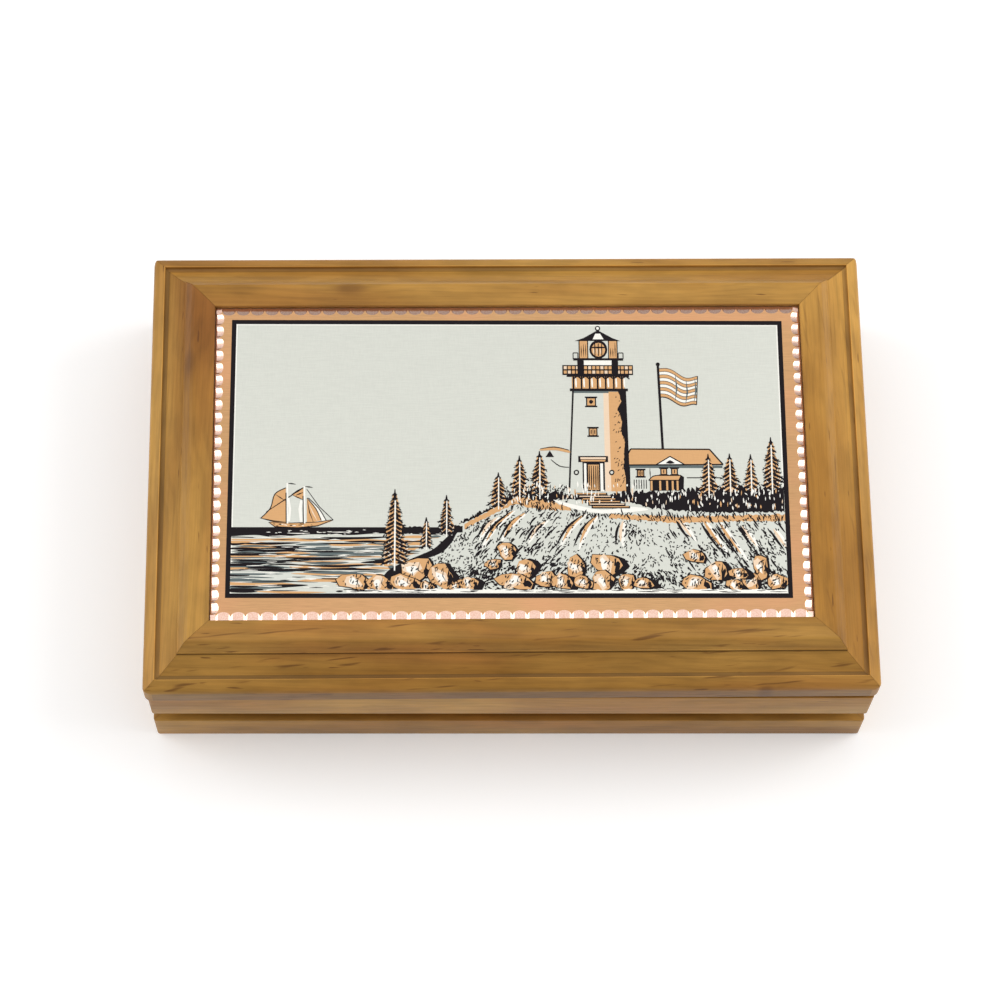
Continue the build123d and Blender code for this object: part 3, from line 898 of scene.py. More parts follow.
stroke("blush", LINE, [(22.0, 27.0), (23.2, 24.3), (24.4, 22.0)], 0.4)
stroke("black", LINE, [(21.3, 31.6), (25.0, 26.2), (29.0, 22.2)], 0.22, 0.8)
for mast, high in ((15.7, 33.5), (20.6, 32.5)):
    stroke("white", LIGHT, [(mast, high), (mast + 0.25, 21.1)], 0.5, EVEN)
    stroke("black", LIGHT, [(mast - 0.32, high - 3), (mast - 0.1, 21.1)], 0.3, EVEN)
    pennant = [(mast, high - 0.1), (mast + 1.3, high - 0.2), (mast + 2.4, high - 0.4)]
    stroke("black", LINE, pennant, 0.35)
hull = smooth_line([(10.7, 21.4), (13, 20.2), (20, 19.9), (24.8, 20.5), (28.9, 22.1), (24, 21.4),
                    (18, 21.3), (13, 21.7)], 4, True)
lay("copper", FACE, hull)
stroke("black", LINE, [(10.6, 21.5), (12.4, 20.1), (19, 19.8), (24.6, 20.4), (29.0, 22.2)], 0.32, 0.6)
stroke("black", LINE, [(10.8, 21.5), (16, 21.2), (24, 21.5), (29.0, 22.3)], 0.25, 0.6)
rng = random.Random(8)
for _ in range(16):
    dash("black" if rng.random() < 0.5 else "white", LIGHT, rng, rng.uniform(12, 24),
         rng.uniform(20.2, 21.2), rng.uniform(0.4, 1.1), 0.24, rng.uniform(-0.3, 0.3))
report_shapes("ship")

# %% [markdown]
# The land is a silver slope under a strip of turf. Its outline is drawn first and covers the sea
# behind it. Stippling then gives it a surface: hundreds of short pen marks, whose slant follows
# the fall of the ground.

# %% Land
land_top = smooth_line([(44, 3.5), (47, 7.0), (52, 10.5), (58, 13.2), (62, 17.5), (67, 20.6),
                        (74, 24.0), (80, 27.6), (86, 29.2), (96, 30.0)], 4)
lay("silver", SHAPE, [(40, 0.9)] + land_top + [(PICTURE_W, 30), (PICTURE_W, 0.9)])
rng = random.Random(5)
bank = smooth_line([(43, 2.5), (44.5, 6.6), (50, 9.8), (57, 13.0), (60, 15.5), (64.5, 19.8),
                    (63.0, 15.6), (59.5, 12.0), (53, 9.4), (50, 6.0), (47, 2.5)], 4, True)
lay("black", FACE, bank)
lay("black", FACE, ragged([(44.5, 20.6), (56, 19.8), (66, 20.4)], rng, 0.3) + [(66, 18.4), (44.5, 18.0)])


def slope_of(u):
    """How the ground falls at a place: to the left on the left side, to the right on the right."""
    turn = min(max((u - 98) / 30, 0), 1)
    return math.radians(50 + 72 * turn * turn * (3 - 2 * turn))


def ground_top(u):
    """Upper edge of the bare slope."""
    return 20.5 + 0.45 * (u - 67) if u < 80 else 25.5 - 0.035 * (u - 80)


def crowding(u, v):
    """How crowded the stippling is: it gathers in drifts, and thickens low down and at the left."""
    along = math.sin(0.42 * u + 0.9 * math.sin(0.31 * v))
    upwards = math.sin(0.55 * v + 1.3 * math.sin(0.17 * u))
    return 0.50 + 0.28 * along * upwards + 0.30 * (v < 7) + 0.22 * (u < 80)


def streak_down(metal, u, v, long, wide, level=LINE):
    """A mark that runs down the slope from a place."""
    fall = slope_of(u)
    bend = 0.06 * long
    end = (u - long * math.cos(fall), v - long * math.sin(fall))
    middle = ((u + end[0]) / 2 - bend, (v + end[1]) / 2 + bend)
    stroke(metal, level, smooth_line([(u, v), middle, end], 3), wide, tip=0.15)


STIPPLES = 3600
for _ in range(STIPPLES):
    u = rng.uniform(52, PICTURE_W)
    v = rng.uniform(1.2, ground_top(u) - 0.4)
    if v > 10 + 0.72 * (u - 52):
        continue
    if rng.random() > crowding(u, v):
        continue
    size = rng.uniform(0.4, 1.15) * (1.2 if v < 9 else 0.9)
    dash("black", LINE, rng, u, v, size, rng.uniform(0.24, 0.46), slope_of(u) + rng.uniform(-1.0, 1.0))
gullies = ((76, 23, 9), (80.5, 25, 15), (84, 24.5, 12), (90, 22, 9), (101, 24, 13),
           (104.5, 23.5, 12), (112, 22, 8), (128, 22.5, 8), (135, 22, 12), (139.5, 21.5, 14),
           (146, 20.5, 9), (155, 19.5, 8))
for u, v, long in gullies:
    streak_down("white", u + 0.6, v, long, 1.5, FACE)
    streak_down("copper" if long > 9 else "blush", u, v, long * 0.8, 0.9)
    streak_down("black", u - 0.9, v - 0.4, long * 0.9, 0.75)
for _ in range(150):
    u = rng.choice((rng.uniform(70, 96), rng.uniform(124, PICTURE_W - 1)))
    streak_down("black", u, rng.uniform(7, ground_top(u)), rng.uniform(1.2, 4.0), rng.uniform(0.28, 0.6))
clumps = ((99, 8), (74, 5), (92, 9), (125, 4), (140, 13), (151, 12), (69, 6), (86, 14),
          (114, 18), (120, 5), (78, 7))
for middle in clumps:
    for _ in range(26):
        u, v = rng.gauss(middle[0], 1.9), rng.gauss(middle[1], 1.0)
        dash("black", LINE, rng, u, max(v, 1.4), rng.uniform(0.6, 1.7), rng.uniform(0.3, 0.65),
             slope_of(u) + rng.uniform(-0.7, 0.7))
report_shapes("land")

# %% [markdown]
# Turf runs along the top of the slope as a copper strip with ragged black grass over it, and the
# hedge behind it is a black mass with pale flecks for leaves that catch the light.

# %% Turf and hedge
lay("copper", LINE, ragged([(66.5, 19.6), (74, 23.4), (80, 26.8)], rng, 0.25) +
    ragged([(81, 28.9), (74, 25.2), (66.5, 20.9)], rng, 0.25))
lay("black", LINE, ragged([(65, 20.8), (73, 24.6), (81, 28.6)], rng, 0.3) +
    ragged([(82, 30.4), (73, 25.7), (65, 21.2)], rng, 0.6, 0.35))
lay("copper", LINE, ragged([(108, 22.8), (128, 21.3), (144, 21.8), (158.5, 22.0)], rng, 0.25) +
    ragged([(158.5, 24.0), (144, 23.6), (128, 23.2), (108, 24.0)], rng, 0.3))
lay("copper", LINE, ragged([(80, 27.0), (90, 25.4), (97, 25.0)], rng, 0.4) +
    ragged([(97, 26.8), (90, 27.8), (81, 29.4)], rng, 0.5))
for _ in range(170):
    u = rng.uniform(80, 158)
    v = rng.uniform(23.6, 25.6) - 0.02 * (u - 80) + (2.0 if u < 97 else 0)
    dash("black", LIGHT, rng, u, v, rng.uniform(0.8, 2.2), rng.uniform(0.25, 0.5), rng.uniform(0.8, 2.4))
hedge = [(92, 30.5), (98, 30.0), (104, 29.2), (112, 30.4), (120, 31.4), (128, 31.0),
         (136, 32.2), (143, 32.6), (150, 32.0), (158.5, 32.6)]
hedge_foot = [(158.5, 24.8), (150, 24.6), (138, 24.6), (126, 25.2), (120, 25.8), (114, 27.6),
              (104, 28.2), (92, 28.6)]
lay("black", LINE, ragged(hedge_foot, rng, 0.35, 0.5) + ragged(hedge, rng, 0.9, 0.45))
lay("black", LINE, ragged([(77, 26.6), (84, 27.4), (92, 27.0)], rng, 0.5) +
    ragged([(94, 30.8), (86, 31.6), (80, 30.4), (77, 28.0)], rng, 1.0, 0.45))
path_light = smooth_line([(92, 28.4), (98, 26.9), (106, 25.3), (114, 26.2), (119, 25.6),
                          (117, 24.9), (106, 24.2), (97, 25.9)], 4, True)
lay("white", LIGHT, path_light)
for _ in range(210):
    u = rng.uniform(80, 158)
    v = rng.uniform(25.8, 31.6) + (0 if u > 118 else 1.6)
    tall = rng.uniform(0.5, 1.9)
    metal = "white" if rng.random() < 0.72 else "blush" if rng.random() < 0.5 else "copper"
    leaf = [(u, v - tall / 2), (u + rng.uniform(-0.2, 0.2), v + tall / 2)]
    stroke(metal, SHINE, leaf, rng.uniform(0.22, 0.55), 0.3)
for _ in range(120):
    dash("black", LIGHT, rng, rng.uniform(78, 96), rng.uniform(27, 32.6), rng.uniform(0.5, 1.6),
         0.34, rng.uniform(0, math.pi))
report_shapes("turf and hedge")

# %% [markdown]
# Firs repeat all over the picture, so one function draws a fir of any size: a copper silhouette,
# rows of drooping black branches that shorten towards the top, a black spire, and the pale line
# of the trunk over all of it.

# %% Firs


def fir(u, base, top, half, seed, level=LIGHT):
    """One fir with its branches in rows."""
    rng = random.Random(seed)
    tall = top - base
    crown = base + 0.12 * tall
    rows = max(6, round(tall / 1.45))
    edges = {side: [] for side in (-1, 1)}
    for row in range(rows):
        share = row / rows
        v = crown + (top - crown) * share
        for side in (-1, 1):
            reach = half * (1 - share) ** 0.8 * rng.uniform(0.66, 1.12) + 0.25
            if row == 0:
                reach *= 0.7
            drop = 0.26 * reach + 0.2
            edges[side].append((u + side * reach * 0.74, v - drop * 0.6))
            root = rng.uniform(0.45, 0.78)
            out = side * reach
            lay("black", level + 1, [(u, v + root),
                                     (u + out * 0.42, v + 0.15 - drop * 0.25),
                                     (u + out * 0.8, v - drop * 0.8),
                                     (u + out, v - drop * 0.62),
                                     (u + out * 0.86, v - drop * 1.05),
                                     (u + out * 0.5, v - drop * 0.6 - root),
                                     (u + out * 0.25, v - root * 0.9),
                                     (u, v - root * 0.3)])
            for _ in range(round(reach * 1.6)):
                along = rng.uniform(0.15, 0.95)
                below = v - drop * along - rng.uniform(0.1, 0.7)
                dash("black", level + 1, rng, u + out * along, below, rng.uniform(0.6, 1.4),
                     rng.uniform(0.25, 0.45), -side * rng.uniform(0.1, 1.1))
            for _ in range(round(reach * 0.7) if share < 0.45 else 0):
                along = rng.uniform(0.2, 0.9)
                below = v - drop * along - rng.uniform(0.5, 1.0)
                dash("white", level + 1, rng, u + out * along, below, rng.uniform(0.3, 0.9),
                     0.22, side * rng.uniform(0.3, 1.2))
    lay("copper", level, edges[-1] + [(u, top - 0.8)] + edges[1][::-1])
    spire = top - 0.16 * tall
    lay("black", level + 1, [(u - 0.45, spire), (u - 0.12, top), (u + 0.12, top), (u + 0.45, spire)])
    trunk = [(u + 0.1, top - 0.14 * tall), (u, base - 0.4)]
    stroke("white", level + 2, trunk, 0.26 + 0.010 * tall, tip=0.75)


for u, base, top, half in ((46.6, 7.2, 31.6, 5.2), (55.6, 13.5, 23.0, 2.2), (61.4, 17.4, 29.8, 2.9),
                           (76.3, 25.8, 36.8, 3.4), (82.4, 28.8, 42.0, 3.6), (88.2, 29.0, 43.4, 3.8),
                           (136.9, 29.4, 42.6, 3.5), (143.1, 30.0, 42.7, 3.4), (149.2, 30.2, 42.5, 2.7),
                           (155.2, 30.6, 47.8, 3.9)):
    fir(u, base, top, half, round(10 * u))
report_shapes("firs")

# %% [markdown]
# The tower is mostly the bare silver field between two lines. Its shaded side goes from blush to
# copper to a ragged black edge. Above it come the corbels, the gallery with its railing, and
# the lantern under a small cap.

# %% Tower
rng = random.Random(21)


def tower_u(share, v):
    """Across the tower, from 0 at its left edge to 1 at its right edge, at a height."""
    climb = (v - 31) / (62.3 - 31)
    left = 96.7 + 1.5 * climb
    return left + share * (114.0 - 0.6 * climb - left)


lay("silver", SHAPE, [(tower_u(0, 30), 30), (tower_u(1, 30), 30),
                      (tower_u(1, 62.5), 62.5), (tower_u(0, 62.5), 62.5)])
for metal, level, share in (("blush", FACE, 0.60), ("copper", LINE, 0.70)):
    lay(metal, level, [(tower_u(share, 33), 31), (tower_u(1, 31), 31),
                       (tower_u(1, 62), 62), (tower_u(share - 0.02, 62), 62)])
shade_edge = [(111.2, 62.2), (112.2, 59.5), (111.0, 56.5), (112.2, 53.5), (112.0, 49.5),
              (113.0, 46.0), (112.6, 41.5), (112.4, 38.0), (113.6, 34.0)]
lay("black", LIGHT, ragged(shade_edge, rng, 0.55, 0.5)
    + [(tower_u(1.015, 31), 31), (tower_u(1.015, 62.2), 62.2)])
for _ in range(45):
    v = rng.uniform(32, 61)
    dash("black", LIGHT, rng, tower_u(rng.uniform(0.76, 0.93), v), v, rng.uniform(0.4, 1.0),
         0.26, rng.uniform(0.4, 1.4))
stroke("black", LIGHT, [(tower_u(0, 30.5), 30.5), (tower_u(0, 62.3), 62.3)], 0.5, EVEN)
box_shape("slate", LINE, 98.2, 61.6, 113.0, 62.6)
box_shape("black", LIGHT, 97.3, 62.2, 114.2, 63.0)
box_shape("copper", LINE, 97.9, 62.9, 113.3, 67.2)
for bay in range(7):
    u = 98.4 + 2.35 * bay
    box_shape("black", LIGHT, u - 0.28, 62.9, u + 0.22, 67.0)
    stroke("white", NEAR, [(u + 0.75, 63.4), (u + 0.65, 66.2)], 0.55, 0.6)
    stroke("black", NEAR, smooth_line([(u, 66.0), (u + 1.15, 66.9), (u + 2.2, 66.0)], 3), 0.5, 0.5)
box_shape("black", LIGHT, 96.4, 66.7, 114.6, 67.4)
box_shape("black", NEAR, 95.2, 67.3, 115.8, 70.4)
for cell in range(17):
    u = 95.6 + 1.19 * cell
    for v in (67.7, 69.1):
        box_shape("copper" if (cell + round(v)) % 3 else "blush", STONE, u, v, u + 0.86, v + 0.95)
for u in (99.6, 109.6):
    box_shape("black", SHINE, u, 67.4, u + 1.9, 72.2)
box_shape("white", LIGHT, 101.5, 70.4, 109.6, 72.0)
box_shape("black", SHINE, 98.4, 71.9, 113.0, 72.6)
for u in (98.4, 111.6):
    post = [(u, 72.4), (u, 74.3), (u + 1.4, 74.3), (u + 1.4, 72.4)]
    outline_strokes(LIGHT, post, 0.25, closed=False)
box_shape("silver", FACE, 100.2, 72.4, 111.4, 78.4)
for u in (100.2, 108.8):
    box_shape("copper", LINE, u, 72.5, u + 2.5, 78.2)
    jamb = [(u, 72.5), (u, 78.2), (u + 2.5, 78.2), (u + 2.5, 72.5)]
    outline_strokes(LIGHT, jamb, 0.3, closed=False)
    for hatch in range(3):
        at = u + 0.6 + 0.65 * hatch
        stroke("black", LIGHT, [(at, 73.0), (at, rng.uniform(75.5, 77.8))], 0.28)
lay("black", LINE, pebble((105.8, 75.4), (2.65, 2.95), 1, 0.0))
lay("copper", LIGHT, pebble((105.8, 75.3), (2.0, 2.2), 1, 0.0))
for bar in (-1.0, 0.0, 1.0):
    stroke("black", NEAR, [(105.8 + bar, 73.3), (105.8 + bar, 77.3)], 0.32, 0.8)
    stroke("blush", NEAR, [(105.45 + bar, 74.0), (105.45 + bar, 75.6)], 0.3, 0.6)
stroke("black", NEAR, [(103.9, 76.0), (107.7, 76.0)], 0.5, 0.8)
cap = smooth_line([(101.5, 79.0), (105.5, 81.4)], 3) + smooth_line([(105.9, 81.4), (110, 79.0)], 3)
lay("black", NEAR, [(99.0, 78.1)] + cap + [(112.2, 78.1)])
lay("white", STONE, [(104.2, 78.6), (105.0, 80.4), (106.4, 80.4), (107.4, 78.6)])
lay("black", NEAR, pebble((105.7, 82.1), (0.75, 0.8), 1, 0.0))
lay("white", STONE, pebble((105.7, 82.1), (0.42, 0.45), 1, 0.0))
report_shapes("tower")

# %% [markdown]
# The tower and the house need windows of several sizes, so one function draws a window: a dark
# frame, two sills that stand out past it, and copper panes. The tower's door has a lintel above
# it, a flight of six steps below it and a lamp on each side.

# %% Windows and door of the tower


def window(u, v, wide, tall, panes):
    """A framed window: dark frame, sills wider than the frame, copper panes."""
    box_shape("black", LIGHT, u - wide / 2, v - tall / 2, u + wide / 2, v + tall / 2)
    for sill in (v - tall / 2, v + tall / 2):
        box_shape("black", LIGHT, u - wide / 2 - 0.35, sill - 0.22,
                  u + wide / 2 + 0.35, sill + 0.22)
    pane = (wide - 0.5) / panes
    for index in range(panes):
        left = u - wide / 2 + 0.25 + index * pane
        box_shape("copper", NEAR, left + 0.1, v - tall / 2 + 0.35,
                  left + pane - 0.1, v + tall / 2 - 0.4)
        middle = left + pane / 2
        stroke("black", STONE, [(middle, v - tall / 4), (middle, v + tall / 4)], 0.3, 0.8)


window(103.4, 58.8, 2.9, 2.9, 1)
lay("black", STONE, pebble((103.4, 58.8), (0.55, 0.6), 4))
window(103.8, 49.4, 2.6, 2.7, 2)
box_shape("black", LIGHT, 99.4, 40.0, 108.0, 41.9)
box_shape("blush", NEAR, 100.0, 40.9, 107.4, 41.5)
box_shape("copper", NEAR, 100.2, 40.2, 107.2, 40.7)
box_shape("black", LIGHT, 100.6, 31.0, 107.0, 40.0)
box_shape("white", NEAR, 101.0, 31.0, 101.7, 39.6)
box_shape("white", NEAR, 105.7, 31.0, 106.5, 39.6)
box_shape("copper", NEAR, 102.2, 31.4, 105.3, 39.2)
for index in range(5):
    u = 102.5 + 0.62 * index
    stroke("black", STONE, [(u, 31.6), (u + rng.uniform(-0.1, 0.1), 38.9)], 0.34, 0.6)
for index in range(6):
    u, v = 98.6 + 0.95 * index, 30.4 - 0.80 * index
    wide = 8.6 + 0.35 * index
    box_shape("black", NEAR, u - 0.35, v - 0.66, u + wide + 0.35, v + 0.14)
    box_shape("blush" if index % 3 == 1 else "copper", STONE, u, v - 0.30, u + wide, v)
for u in (98.8, 109.0):
    lay("black", LIGHT, pebble((u, 36.8), (0.8, 0.85), 2, 0.03))
    lay("silver", NEAR, pebble((u, 36.8), (0.42, 0.45), 2, 0.03))
arm = smooth_line([(88.6, 44.0), (92.5, 44.5), (96.6, 43.6), (96.8, 42.9), (93, 43.7),
                   (88.7, 43.6)], 3, True)
lay("copper", LIGHT, arm)
stroke("black", NEAR, smooth_line([(88.5, 44.1), (92.5, 44.7), (96.8, 43.7)], 3), 0.3, 0.6)
lay("black", LIGHT, [(90.0, 41.6), (91.2, 43.6), (92.4, 41.6)])
stroke("black", LIGHT, smooth_line([(91.5, 40.8), (94, 38.8), (96.7, 38.4)], 3), 0.26, 0.6)
report_shapes("windows and door")

# %% [markdown]
# A low house stands beside the tower, with a copper hip roof, a small gable, and a porch.

# %% House
box_shape("silver", SHAPE, 112.6, 30.5, 141.0, 39.2)
roof = [(111.9, 39.1), (114.6, 44.1), (137.4, 44.0), (141.2, 39.3)]
lay("copper", FACE, roof)
outline_strokes(LINE, roof, 0.42)
box_shape("slate", FACE, 112.6, 38.2, 141.0, 39.0)
box_shape("black", LINE, 113.0, 30.5, 114.3, 38.6)
gable = [(121.8, 39.2), (125.9, 41.8), (130.2, 39.2)]
lay("white", LINE, gable)
outline_strokes(LIGHT, gable, 0.34)
lay("black", LIGHT, smooth_line([(124.6, 39.7), (125.9, 40.6), (127.3, 39.7)], 3) + [(125.9, 39.5)])
window(117.3, 36.6, 2.2, 2.3, 2)
window(124.0, 37.1, 2.0, 2.2, 1)
window(127.1, 37.1, 2.0, 2.2, 1)
stroke("black", LINE, [(120.0, 38.2), (120.1, 35.0)], 0.3)
outline_strokes(LINE, [(130.6, 35.2), (140.6, 35.2)], 0.3, closed=False)
porch = smooth_line([(119.6, 34.4), (120.8, 35.6), (122.4, 35.9)], 3) + [(129.0, 35.9), (128.3, 34.4)]
lay("copper", NEAR, porch)
outline_strokes(STONE, porch, 0.3)
box_shape("black", LIGHT, 119.9, 31.2, 129.4, 34.5)
lay("black", NEAR, [(128.3, 31.2), (128.4, 34.4), (129.1, 35.9), (129.8, 35.4), (129.6, 31.4)])
for u in (120.1, 122.6, 124.6, 126.2, 127.6):
    box_shape("copper", NEAR, u, 31.3, u + 0.55, 34.3)
for index in range(6):
    u = 115.4 + 0.7 * index
    stroke("black", LINE, [(u, 31.8), (u, 34.6)], 0.25, 0.9)
report_shapes("buildings")

# %% [markdown]
# The flag is a plain striped one on a tall pole. Both its edges follow one wave formula, so each
# stripe is that formula at two shares of the height.

# %% Flag
STRIPES = 9


def flag_point(along, down):
    """A place on the waving flag, from the pole (0) to the fly (1) and from top (0) to foot (1)."""
    wave = 0.85 * math.sin(math.tau * (1.15 * along + 0.12 * down)) * (0.4 + along)
    return 123.4 + 11.2 * along - 0.5 * down * along, 69.3 - 9.2 * down - 3.3 * along ** 1.3 + wave


shares = [step / 14 for step in range(15)]
for stripe in range(STRIPES):
    upper, lower = stripe / STRIPES, (stripe + 1) / STRIPES
    top_edge = [flag_point(a, upper) for a in shares]
    low_edge = [flag_point(a, lower) for a in shares]
    lay("copper" if stripe % 2 == 0 else "white", FACE, top_edge + low_edge[::-1])
    outline_strokes(LINE, top_edge, 0.16, closed=False)
outline_strokes(LINE, [flag_point(a, 1) for a in shares], 0.26, closed=False)
outline_strokes(LINE, [flag_point(1, d / 4) for d in range(5)], 0.26, closed=False)
for fold in (0.42, 0.70, 0.93):
    crease = [flag_point(fold, 0.05), flag_point(fold + 0.04, 0.5), flag_point(fold, 0.95)]
    stroke("slate", LINE, crease, 0.5, 0.1)
stroke("black", LINE, [(123.9, 44.0), (123.1, 70.4)], 0.72, EVEN)
lay("black", LINE, pebble((123.1, 70.7), (0.6, 0.6), 1, 0.0))
report_shapes("flag")

# %% [markdown]
# Boulders lie along the shore. Each is a black pebble with a copper pebble of the same outline on
# it, moved to the left, so the black stays as an outline and as a shadow on the right. Blush and
# white pebbles make the light on it, and a few marks its cracks.

# %% Boulders


def boulder(u, v, wide, tall, seed, level, shade=0.5):
    """A lit stone with its shadow to the right."""
    rng = random.Random(seed)
    turn = rng.uniform(-0.35, 0.35)
    body = (wide / 2, tall / 2)
    edge = (wide / 2 + 0.24 + shade * 0.55, tall / 2 + 0.28)
    lay("black", level, pebble((u + shade * 0.6, v - 0.1), edge, seed, 0.16, turn, 10), room=0)
    lay("copper", level + 0.05, pebble((u, v), body, seed, 0.16, turn, 10), room=0)
    core = pebble((u + 0.37 * wide, v - 0.16 * tall), (0.11 * wide, 0.26 * tall), seed + 2, 0.3,
                  turn, 8)
    lay("black", level + 0.08, core, room=0)
    for metal, above, size in (("blush", 0.10, 0.34), ("white", 0.15, 0.20)):
        place = (u - 0.06 * wide + rng.uniform(-0.08, 0.05) * wide,
                 v + rng.uniform(-0.05, 0.10) * tall)
        lit = pebble(place, (wide * size * 0.7, tall * size * 1.15), seed + 1, 0.26, turn + 0.4, 9)
        lay(metal, level + above, lit, room=0)
    for split in (0.12, 0.34):
        top = (u + split * wide, v + 0.36 * tall)
        foot = (u + (split + rng.uniform(-0.05, 0.12)) * wide, v - rng.uniform(0.1, 0.35) * tall)
        crack = [top, (top[0] - 0.05 * wide, v), foot]
        stroke("black", level + 0.2, crack, 0.16 + 0.08 * wide * split * 2, 0.1)
    for _ in range(15):
        dash("black", level + 0.2, rng, u + rng.uniform(-0.38, 0.38) * wide,
             v + rng.uniform(-0.36, 0.36) * tall, rng.uniform(0.35, 1.3),
             rng.uniform(0.26, 0.5), rng.uniform(0.3, 1.7))


stones = ((35.4, 3.4, 9.4, 5.2), (42.4, 3.0, 7.4, 4.8), (52.6, 7.0, 9.6, 6.6), (49.6, 3.2, 8.6, 4.8),
          (59.8, 5.2, 7.0, 7.6), (55.8, 2.0, 3.8, 3.2), (64.0, 2.1, 3.2, 3.0), (67.6, 2.9, 5.4, 4.0),
          (74.6, 8.8, 5.4, 2.6), (78.6, 12.8, 5.6, 4.8), (83.8, 7.2, 6.0, 5.6), (80.8, 3.6, 9.8, 5.0),
          (89.6, 4.2, 5.0, 5.2), (94.2, 3.5, 5.6, 5.0), (98.2, 8.0, 5.6, 6.0), (100.2, 3.3, 5.2, 4.0),
          (107.0, 8.8, 8.2, 6.6), (105.8, 3.7, 7.0, 5.6), (112.6, 3.4, 5.2, 4.6),
          (117.4, 3.0, 5.0, 3.6), (132.2, 11.2, 5.4, 4.2), (132.4, 3.0, 8.4, 4.6),
          (138.2, 6.6, 5.6, 6.6), (143.4, 2.5, 4.8, 3.4), (148.2, 3.6, 5.8, 4.4),
          (144.6, 6.0, 5.0, 3.4), (151.0, 8.0, 4.6, 6.6), (155.6, 3.5, 5.4, 5.0))
STONE_RISE = 0.22
for index, (u, v, wide, tall) in enumerate(stones):
    boulder(u, v, wide, tall, 60 + index, NEAR + STONE_RISE * index,
            shade=0.45 + 1.0 * (index % 3 == 1))
rng = random.Random(9)
for _ in range(420):
    u = rng.choice((rng.uniform(60, 122), rng.uniform(128, 157)))
    dash("black", LIGHT, rng, u, rng.triangular(1.2, 9.0, 1.6), rng.uniform(0.5, 1.7),
         rng.uniform(0.3, 0.7), rng.uniform(-0.6, 0.9))
foam = ragged([(33, 1.0), (60, 1.3), (95, 0.9), (125, 1.3), (158.4, 1.0)], rng, 0.25, 0.8)
lay("white", NEAR + 7, [(33, 0)] + foam + [(158.4, 0)])
for _ in range(60):
    dash("black", NEAR + 8, rng, rng.uniform(34, 157), rng.uniform(0.3, 1.2),
         rng.uniform(1.2, 5), 0.24, 0)
report_shapes("boulders")

# %% [markdown]
# The drawing is now given its thickness. Each level is extruded from just under the plate's top
# to its own height, all levels of one metal are joined, and the picture is moved to its place
# on the plate.

# %% Extrude the picture
PICTURE_MIDDLE = Vector((-0.5, 0.9)) * MM
PICTURE_TURN = math.radians(-0.36)
SUNK = 0.02
to_plate = (lid_place @ Matrix.Translation((PICTURE_MIDDLE.x, PICTURE_MIDDLE.y, plate_high.z))
            @ Matrix.Rotation(PICTURE_TURN, 4, "Z") @ Matrix.Scale(MM, 4)
            @ Matrix.Translation((-PICTURE_W / 2, -PICTURE_H / 2, -SUNK)))
for metal, material in metals.items():
    joined = bmesh.new()
    for (name, level), bm in sheets.items():
        if name != metal:
            continue
        raised = bmesh.ops.extrude_face_region(bm, geom=bm.faces[:], use_keep_orig=True)
        tops = [g for g in raised["geom"] if isinstance(g, bmesh.types.BMVert)]
        bmesh.ops.translate(bm, verts=tops, vec=(0, 0, SUNK + level * LEVEL_STEP))
        bmesh.ops.recalc_face_normals(bm, faces=bm.faces[:])
        part = bpy.data.meshes.new("part")
        bm.to_mesh(part)
        joined.from_mesh(part)
        bpy.data.meshes.remove(part)
    joined.transform(to_plate)
    piece = finish_piece(joined, "picture_" + metal, material, "lid",
                         sharp=math.radians(30))
    print(piece.name, len(piece.data.polygons), "faces")

# %% [markdown]
# The two hinges are let into the wood. Each leaf lies in a shallow mortise, and its knuckles sit
# in a round hollow along the back. A Boolean modifier cuts both out of the back rail and the
# back band; its result is kept as the mesh, and the cutting shapes are thrown away. Every shape
# here is closed, so the modifier's manifold solver can be used: it is the quickest, and it never
# turns the result inside out.

# %% Cut the hinge mortises
pin_line = (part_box("hinge_left_pin")[0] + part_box("hinge_left_pin")[1]) / 2
LEAF_FAR = 1.5 * MM
LEAF_SLACK = 0.15 * MM
NOTCH_R = 2.35 * MM
PAST_BACK = 4 * MM


def carve(piece, tool):
    """Cuts the bmesh out of a piece and keeps the result as the piece's mesh."""
    mesh = bpy.data.meshes.new("tool")
    bmesh.ops.recalc_face_normals(tool, faces=tool.faces[:])
    tool.to_mesh(mesh)
    tool.free()
    cutter = bpy.data.objects.new("tool", mesh)
    bpy.context.scene.collection.objects.link(cutter)
    modifier = piece.modifiers.new("carve", "BOOLEAN")
    modifier.object = cutter
    modifier.solver = "MANIFOLD"
    graph = bpy.context.evaluated_depsgraph_get()
    carved = bpy.data.meshes.new_from_object(piece.evaluated_get(graph))
    piece.modifiers.clear()
    carved.name = piece.name
    carved.set_sharp_from_angle(angle=SHARP)
    piece.data = carved
    bpy.data.objects.remove(cutter)


for side in ("left", "right"):
    leaf_low, leaf_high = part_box("hinge_" + side + "_body_leaf")
    middle_x = (leaf_low.x + leaf_high.x) / 2
    long = leaf_high.x - leaf_low.x + 2 * LEAF_SLACK
    for piece in (rails["back"], strips["band_back"]):
        hollow = bmesh.new()
        bmesh.ops.create_cone(hollow, cap_ends=True, segments=40, radius1=NOTCH_R, radius2=NOTCH_R,
                              depth=long)
        hollow.transform(Matrix.Translation((middle_x, pin_line.y, pin_line.z))
                         @ Matrix.Rotation(math.pi / 2, 4, "Y"))
        carve(piece, hollow)
    wide = pin_line.y - leaf_low.y + LEAF_SLACK + PAST_BACK
    middle_y = leaf_low.y - LEAF_SLACK + wide / 2
    for piece in (rails["back"], strips["band_back"]):
        mortise = bmesh.new()
        bmesh.ops.create_cube(mortise, size=1.0)
        mortise.transform(Matrix.Translation((middle_x, middle_y, pin_line.z))
                          @ Matrix.Diagonal((long, wide, 2 * LEAF_FAR, 1)))
        carve(piece, mortise)
    print(side, "hinge: mortise mm", round(long / MM, 1), "x", round(wide / MM, 1))

